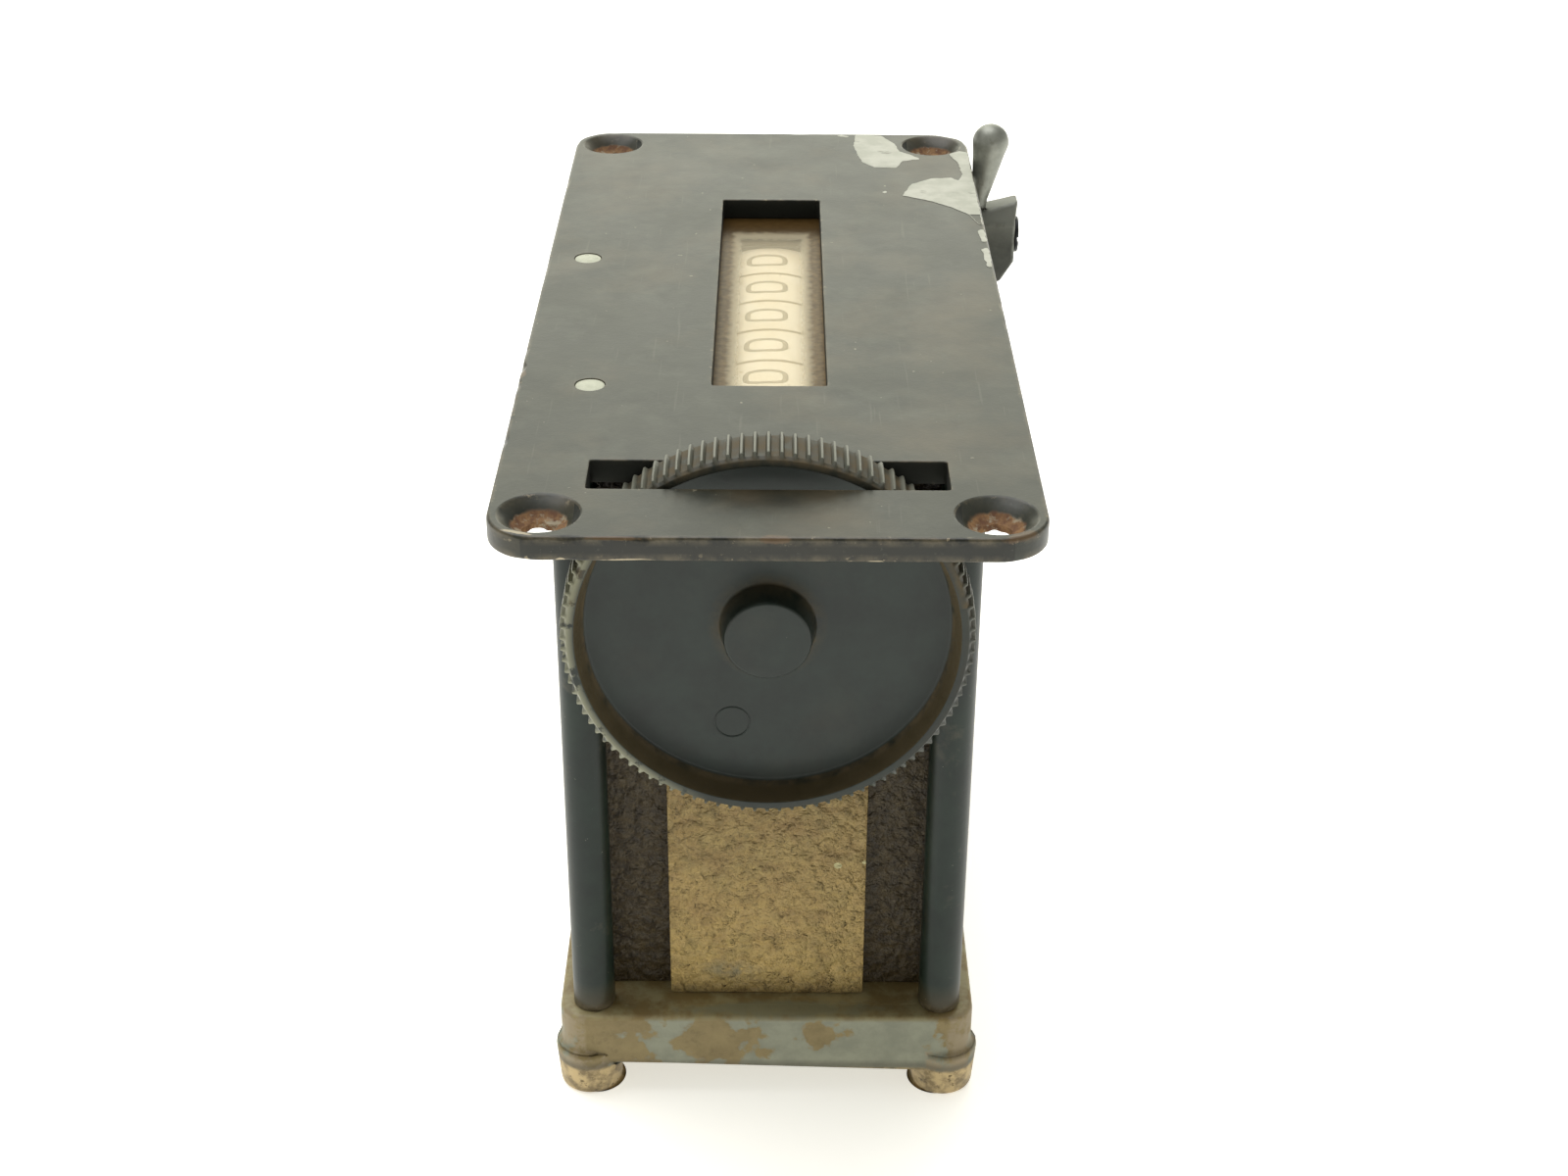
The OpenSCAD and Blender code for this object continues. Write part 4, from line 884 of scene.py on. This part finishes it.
# %% [markdown]
# ## Reset wheel
# The wheel is moulded in one: a dished face with a round boss, a thin rim, and a straight knurl of
# narrow ridges with wide valleys. One profile of radius against depth gives all of it, and within the
# knurl rows the radius rises by the ridge's height. Each ridge has eight points across: root, flank,
# tip and valley. The dust settles on the dish's sloping wall and in its corners.
# %% Build the reset wheel
FRONT, BACK = wheel_low[1], wheel_low[1] + WHEEL_W
WHEEL_R = (wheel_high[0] - wheel_low[0]) / 2
ROOT_R, DISH_R, FLOOR_R = WHEEL_R - 0.5, WHEEL_R - 1.45, WHEEL_R - 2.2
FLOOR_Y = FRONT + 3.0
RIDGES = 100
corners = np.array([(0, FRONT), (4.2, FRONT), (4.7, FLOOR_Y), (FLOOR_R, FLOOR_Y), (DISH_R, FRONT),
                    (ROOT_R - 0.25, FRONT), (ROOT_R, FRONT + 0.42), (ROOT_R, BACK), (6.0, BACK),
                    (6.0, wheel_high[1]), (2.02, wheel_high[1]), (2.02, FRONT + 1.5), (0, FRONT + 1.5)])
radii = np.array([0, 0.35, 0.3, 0.35, 0.12, 0.12, 0.1, 0.12, 0.3, 0.25, 0.1, 0.1, 0]) + 1e-4
profile = fillet(corners, radii, 5, closed=False)
profile = np.unique(np.round(profile, 5), axis=0, return_index=True)[1]
profile = fillet(corners, radii, 5, closed=False)[np.sort(profile)]
gap = np.linalg.norm(np.diff(profile, axis=0), axis=1)
parts = np.clip(np.ceil(gap / 1.1), 1, 14).astype(int)
which = np.repeat(np.arange(len(gap)), parts)
share = ((np.arange(parts.sum()) - np.repeat(np.cumsum(parts) - parts, parts)) / parts[which])[:, None]
profile = np.vstack([profile[:-1][which] * (1 - share) + profile[1:][which] * share, profile[-1]])
pitch = 2 * np.pi * WHEEL_R / RIDGES
across = np.array([-0.27, -0.11, 0.0, 0.11, 0.27, 0.47, 0.63, 0.79]) / pitch
rise = np.array([0.0, 0.94, 1.0, 0.94, 0.0, -0.04, -0.06, -0.04])
turn_angle = ((np.arange(RIDGES)[:, None] + across) / RIDGES * 2 * np.pi).ravel()
lift = np.tile(rise, RIDGES)
r, y = profile[:, 0:1], profile[:, 1:2]
in_knurl = np.clip((r - ROOT_R + 0.12) / 0.1, 0, 1) * np.clip((y - FRONT - 0.18) / 0.3, 0, 1)
in_knurl = in_knurl * np.clip((BACK - y - 0.02) / 0.12, 0, 1)
worn_tips = 1 - 0.25 * np.clip(np.repeat(ripple(RIDGES, 30, 11), 8), 0, 1)
radius = r + in_knurl * lift * 0.5 * worn_tips
points = np.stack([radius * np.cos(turn_angle), y + 0 * radius, AXIS_Z + radius * np.sin(turn_angle)], -1)
angle_deg = np.degrees(turn_angle) % 360
# The ridge tips get a painted highlight; the weighting below makes it strongest on the wheel's upper side.
ridge = in_knurl * np.clip(lift - 0.7, 0, 1) / 0.3
wall_near = np.clip((r - FLOOR_R + 0.02) / 0.1, 0,
                    1) * (r < DISH_R + 0.02) * (y < FLOOR_Y - 0.1) * (y > FRONT + 0.03)
boss_foot = np.exp(-((r - 4.75) / 0.35) ** 2) * (y < FLOOR_Y + 0.1) * 0.6
above_axis = np.clip(np.sin(turn_angle) * 3 + 0.5, 0.15, 1)
valleys = in_knurl * (lift < 0.1) * 0.85 * above_axis
dust = np.clip(np.maximum(wall_near, boss_foot * 0.8 + valleys) + 0 * radius, 0, 1)
low_left = np.clip((angle_deg - 140) / 15, 0, 1) * np.clip((252 - angle_deg) / 22, 0, 1)
rim_face = np.clip((r - DISH_R - 0.05) / 0.2, 0,
                   1) * (y < FRONT + 0.3) * (0.12 + 0.7 * (np.sin(turn_angle) > 0.2))
dust = np.clip(dust + rim_face, 0, np.maximum(0.88, wall_near))
outer = np.clip((r - DISH_R - 0.05) / 0.2, 0, 1) * (y < BACK + 0.01)
smear = low_left * outer + 0 * radius
quads = grid_faces(len(profile), len(turn_angle), wrap_columns=True)
reset_wheel = make_piece("knurled_reset_wheel", points, [quads], phenolic, "reset",
                         {"ridge": ridge * (0.35 + 0.65 * above_axis) + 0 * radius, "dust": dust,
                          "smear": smear}, crease=50)
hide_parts("reset_wheel")

# %% [markdown]
# A small plain ring stands on the dish below the boss, where the mould carried a round insert. It is
# a half-round bead, swept round its own centre and sunk a little in the floor.
# %% Build the mould ring
MARK = (-3.5, AXIS_Z - 11.0)
a = np.linspace(0, 2 * np.pi, 60, endpoint=False)[:, None]
b = np.linspace(0, 2 * np.pi, 8, endpoint=False)[None, :]
ring_r = 1.72 + 0.09 * np.cos(b)
points = np.stack([MARK[0] + ring_r * np.cos(a), FLOOR_Y + 0.01 - 0.09 * np.sin(b) + 0 * a,
                   MARK[1] + ring_r * np.sin(a)], -1)
make_piece("mould_ring", points, [grid_faces(60, 8, True, True)], phenolic, "reset")

# %% [markdown]
# ## Figures
# The figures were printed round each drum. Each is drawn as strokes in a box one unit wide and one
# high: some are curves through a few points, some are straight lines with small bends. A stroke
# becomes a thin, slightly domed ribbon, and the ribbon is wrapped on its drum: a step up the figure
# is a turn back round the shaft, by height over radius. The figures read from the right-hand side.
# %% Draw the strokes


def curve(points, closed=False, steps=9):
    """A smooth path through points: each stretch is a cubic whose slopes are half the distance
    between the points on either side."""
    p = np.asarray(points, float)
    ring = np.arange(len(p) if closed else len(p) - 1)
    pick = [(ring + k) % len(p) if closed else np.clip(ring + k, 0, len(p) - 1) for k in (-1, 0, 1, 2)]
    before, start, end, after = (p[k][:, None] for k in pick)
    t = np.linspace(0, 1, steps, endpoint=False)[None, :, None]
    m0, m1 = (end - before) / 2, (after - start) / 2
    path = ((2 * t**3 - 3 * t**2 + 1) * start + (t**3 - 2 * t**2 + t) * m0
            + (3 * t**2 - 2 * t**3) * end + (t**3 - t**2) * m1).reshape(-1, 2)
    return path if closed else np.vstack([path, p[-1]])


def bent_line(points):
    """Straight lines with small bends, in box units."""
    return fillet(points, 0.045, 4, closed=False)


around = np.linspace(0, 2 * np.pi, 48, endpoint=False)
superellipse = 0.5 + 0.5 * np.column_stack([np.sign(np.cos(around)) * abs(np.cos(around)) ** 0.62,
                                            np.sign(np.sin(around)) * abs(np.sin(around)) ** 0.62])
loop_8 = circle((0.5, 0.5), 0.5, 32)
FIGURES = {
    0: [(superellipse, True)],
    1: [(bent_line([(0.22, 0.78), (0.55, 1.0), (0.55, 0.0)]), False)],
    2: [(curve([(0.04, 0.74), (0.2, 0.95), (0.52, 1.0), (0.88, 0.88), (0.94, 0.66), (0.72, 0.42), (0.3, 0.16),
                (0.02, 0.0)]), False), (bent_line([(0.0, 0.0), (0.5, 0.0), (1.0, 0.0)]), False)],
    3: [(curve([(0.06, 0.86), (0.3, 1.0), (0.7, 0.98), (0.92, 0.78), (0.74, 0.58), (0.42, 0.53), (0.74, 0.5),
                (0.98, 0.26), (0.72, 0.03), (0.28, 0.0), (0.02, 0.16)]), False)],
    4: [(bent_line([(0.74, 0.0), (0.74, 1.0), (0.0, 0.3), (1.0, 0.3)]), False)],
    5: [(bent_line([(0.94, 1.0), (0.16, 1.0), (0.08, 0.56)]), False),
        (curve([(0.08, 0.56), (0.4, 0.64), (0.82, 0.56), (0.98, 0.3), (0.74, 0.04), (0.3, 0.0),
                (0.02, 0.14)]), False)],
    6: [(loop_8 * (0.96, 0.58) + (0.02, 0.0), True),
        (curve([(0.03, 0.3), (0.1, 0.66), (0.4, 0.94), (0.84, 1.0)]), False)],
    7: [(bent_line([(0.0, 1.0), (1.0, 1.0), (0.32, 0.0)]), False)],
    8: [(loop_8 * (0.8, 0.46) + (0.1, 0.54), True), (loop_8 * (1.0, 0.54), True)],
    9: [(loop_8 * (0.96, 0.58) + (0.02, 0.42), True),
        (curve([(0.97, 0.7), (0.9, 0.34), (0.6, 0.06), (0.16, 0.0)]), False)],
}
FIGURE_SIZE = np.array([3.7, 4.9])
STROKE, INK_HEIGHT, SET_BACK = 0.62, 0.045, 0.45


def ribbon(path, closed):
    """A ribbon's points (steps, 6, 3) and faces: its section is a low dome, carried along the path."""
    path = path * (FIGURE_SIZE - STROKE) + STROKE / 2
    if closed:
        along = np.roll(path, -1, 0) - np.roll(path, 1, 0)
    else:
        along = np.gradient(path, axis=0)
        ends = unit(along[[0, -1]]) * STROKE / 2 * [[-1], [1]]
        path = np.vstack([path[0] + ends[0], path, path[-1] + ends[1]])
        along = np.vstack([along[0], along, along[-1]])
    side = unit(along) @ np.array([[0, -1], [1, 0]])
    reach = np.array([-0.5, -0.42, 0.0, 0.42, 0.5, 0.0]) * STROKE
    height = np.array([-0.03, 0.7, 1.0, 0.7, -0.03, -0.4]) * INK_HEIGHT
    flat = path[:, None] + side[:, None] * reach[None, :, None]
    points = np.concatenate([flat, np.broadcast_to(height[None, :, None], flat.shape[:2] + (1,))], -1)
    faces = [grid_faces(len(path), 6, closed, True)]
    if not closed:
        last = (len(path) - 1) * 6
        faces += [np.array([[0, 1, 2, 5], [2, 3, 4, 5]]) + k for k in (0, last)]
    return points, faces


# %% [markdown]
# All ten figures of a drum are one piece, because they were one print. The drums read 0 at rest.
# %% Wrap the figures on the drums
UNITS_Y, FIGURE_PITCH = 20.5, 8.5
for wheel in range(1, 6):
    middle_y = UNITS_Y - FIGURE_PITCH * (wheel - 1)
    points, faces, first = [], [], 0
    for number, strokes in FIGURES.items():
        for path, closed in strokes:
            flat, quads = ribbon(path, closed)
            flat = flat.reshape(-1, 3)
            back = -np.radians(36.0 * number) - (flat[:, 1] - FIGURE_SIZE[1] / 2 + SET_BACK) / DRUM_R
            radius = DRUM_R + flat[:, 2]
            across_y = middle_y + flat[:, 0] - FIGURE_SIZE[0] / 2
            points.append(np.column_stack([radius * np.sin(back), across_y, AXIS_Z + radius * np.cos(back)]))
            faces += [q + first for q in quads]
            first += len(flat)
    make_piece(f"figures_{wheel}", np.concatenate(points), faces, figure_paint,
               BODY_OF[f"digit_wheel_{wheel}"],
               crease=60)

# %% [markdown]
# ## Body
# Four turned rods join the plate to the base. Each has a short spigot in the plate and a tapped hole
# below for its screw. One profile turned round each rod's own axis gives the skin; its ends are
# chamfered as a lathe leaves them.
# %% Turn the pillars
for node in ("pillar_front_left", "pillar_front_right", "pillar_rear_left", "pillar_rear_right"):
    low, high = box_mm(node)
    centre, radius = (low[:2] + high[:2]) / 2, (high[0] - low[0]) / 2
    foot_z = low[2]
    profile = [(0, foot_z + 12), (1.5, foot_z + 12), (1.5, foot_z + 0.2), (1.7, foot_z),
               (radius - 0.2, foot_z),
               (radius - 0.06, foot_z + 0.06), (radius, foot_z + 0.2), (radius, foot_z + 1.0),
               (radius, foot_z + 20), (radius, foot_z + 42), (radius, -0.5), (radius - 0.1, -0.05),
               (radius - 0.2, -0.01), (1.5, -0.01), (1.5, 1.35), (1.35, high[2]), (0, high[2])]
    points, faces = revolve(profile, 56, centre)
    z = points[..., 2]
    wear = np.clip(1 - (z - foot_z) / 0.8, 0, 1) * (z < foot_z + 2)
    piece = make_piece(node + "_rod", points, faces, pillar_enamel, BODY_OF[node],
                       {"wear": wear})
    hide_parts(node)

# %% [markdown]
# Housing and base are sand castings: their edges are soft, so the CAD shapes are copied and rounded.
# The lever's end block was filed up from a casting too.
# %% Soften the castings
softened("housing", 0.28, crackle)


SCREW_HEAD_R, FOOT_INNER_R, FOOT_TAPER = 2.5, 2.75, 0.1


def worn_feet(points):
    """Draws the feet's outer walls in towards their middles, by up to a tenth at the floor."""
    screw_low, screw_high = box_mm("base_screws")
    middle = np.sign(points[:, :2]) * ((screw_high - screw_low)[:2] / 2 - SCREW_HEAD_R)
    away = points[:, :2] - middle
    outer = np.linalg.norm(away, axis=1) > FOOT_INNER_R
    share = np.clip((BASE_BOTTOM - points[:, 2]) / FOOT_H, 0, 1) * outer
    moved = points.copy()
    moved[:, :2] -= away * FOOT_TAPER * share[:, None]
    return moved


softened("base", 0.55, casting, reshape=worn_feet)
softened("lever_arm", 0.45, lever_casting)
softened("finger_screw", 0.14, black_steel, steps=2)

# %% [markdown]
# The finger is a turned pin with a domed head, gripped in the block by a cross screw. The striker of
# the turnstile rubs it, so its paint has gone. Its profile runs from the foot of the shank, out over
# the taper and round the dome to the pole.
# %% Turn the drive finger
low, high = box_mm("lever_finger")
tip_r = (high[1] - low[1]) / 2
LEAN, SHANK_R, SHANK_L = np.radians(8), 1.0, 5.0
TIP = np.array([high[0] - tip_r, (low[1] + high[1]) / 2, high[2] - tip_r])
CLAMP_Z = -7.4
length = (TIP[2] - CLAMP_Z) / math.cos(LEAN)
a = np.linspace(0, np.pi / 2, 12)
profile = [(0, -3), (SHANK_R - 0.15, -3), (SHANK_R - 0.01, -2.85), (SHANK_R - 0.01, SHANK_L - 0.1),
           (SHANK_R + 0.05, SHANK_L + 0.25),
           (SHANK_R + 0.55, SHANK_L + 3.1), (tip_r - 0.28, length - 1.4), (tip_r - 0.06, length - 0.4)]
profile += [(tip_r * math.cos(t), length + tip_r * math.sin(t)) for t in a[:-1]] + [(0, length + tip_r)]
points, faces = revolve(profile, 64)
points = points - (0, 0, length)
points = np.stack([points[..., 0] * math.cos(LEAN) + points[..., 2] * math.sin(LEAN), points[..., 1],
                   points[..., 2] * math.cos(LEAN) - points[..., 0] * math.sin(LEAN)], -1) + TIP
finger = make_piece("turned_finger", points, faces, finger_metal, BODY_OF["lever_finger"],
                    crease=60)
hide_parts("lever_finger")

# %% [markdown]
# The return spring is a torsion spring of round wire: a straight leg, four turns round the drive
# shaft, and a second leg. Its centre line is a helix whose turn advances by one pitch, and the wire
# is a circle carried along it.
# %% Wind the return spring
low, high = box_mm("return_spring")
WIRE_R, COIL_R, TURNS, PITCH = 0.4, 4.6, 4, 0.95
start_y = low[1] + WIRE_R
a = np.radians(90 - np.linspace(0, 360 * TURNS, TURNS * 28 + 1))
coil = np.column_stack([COIL_R * np.cos(a), start_y + PITCH * TURNS * np.linspace(0, 1, len(a)),
                        AXIS_Z + COIL_R * np.sin(a)])
path = np.vstack([[-11.5, start_y, AXIS_Z + COIL_R], coil, [11.0, start_y + PITCH * TURNS, AXIS_Z + COIL_R]])
along = unit(np.gradient(path, axis=0))
side = unit(np.cross([0.0, 1.0, 0.0], along))
over = np.cross(along, side)
b = np.linspace(0, 2 * np.pi, 12, endpoint=False)[None, :, None]
points = path[:, None] + WIRE_R * (np.cos(b) * side[:, None] + np.sin(b) * over[:, None])
ends = [np.arange(12)[None, :], (len(path) - 1) * 12 + np.arange(12)[None, :]]
spring = make_piece("wound_spring", points, [grid_faces(len(path), 12, wrap_columns=True)] + ends,
                    spring_steel,
                    "case", crease=50)
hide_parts("return_spring")

# %% [markdown]
# ## Works inside
# The frame plates, shafts, drums, gears and pawls keep their CAD shapes, which are cut or turned as
# the real ones are. Each gets its own metal or enamel.
# %% Finish the parts that keep their CAD shape
FINISHES = {
    cream: [f"digit_wheel_{k}" for k in range(1, 6)],
    brass: ["front_bush", "rear_bush"] + [f"transfer_pinion_{k}" for k in range(1, 5)],
    spring_steel: [f"reset_spring_{k}" for k in range(1, 6)],
    black_steel: ["reset_grub_screw", "lever_grub_screw", "shaft_clip", "pane_retainer"],
    steel: ["base_screws", "front_frame_plate", "rear_frame_plate", "frame_spacers", "carrier_rail",
            "stop_studs",
            "holding_pawl_stud", "number_shaft", "ratchet_wheel", "holding_pawl", "drive_shaft",
            "driver_plate",
            "drive_pawl", "drive_pawl_stud", "spring_post"] + [f"pinion_carrier_{k}" for k in range(1, 5)],
}
finished = 0
for material, names in FINISHES.items():
    for name in names:
        if not NODES[name].material_slots:
            NODES[name].data.materials.append(material)
        for material_slot in NODES[name].material_slots:
            material_slot.material = material
        finished += 1
print("CAD shapes finished:", finished)
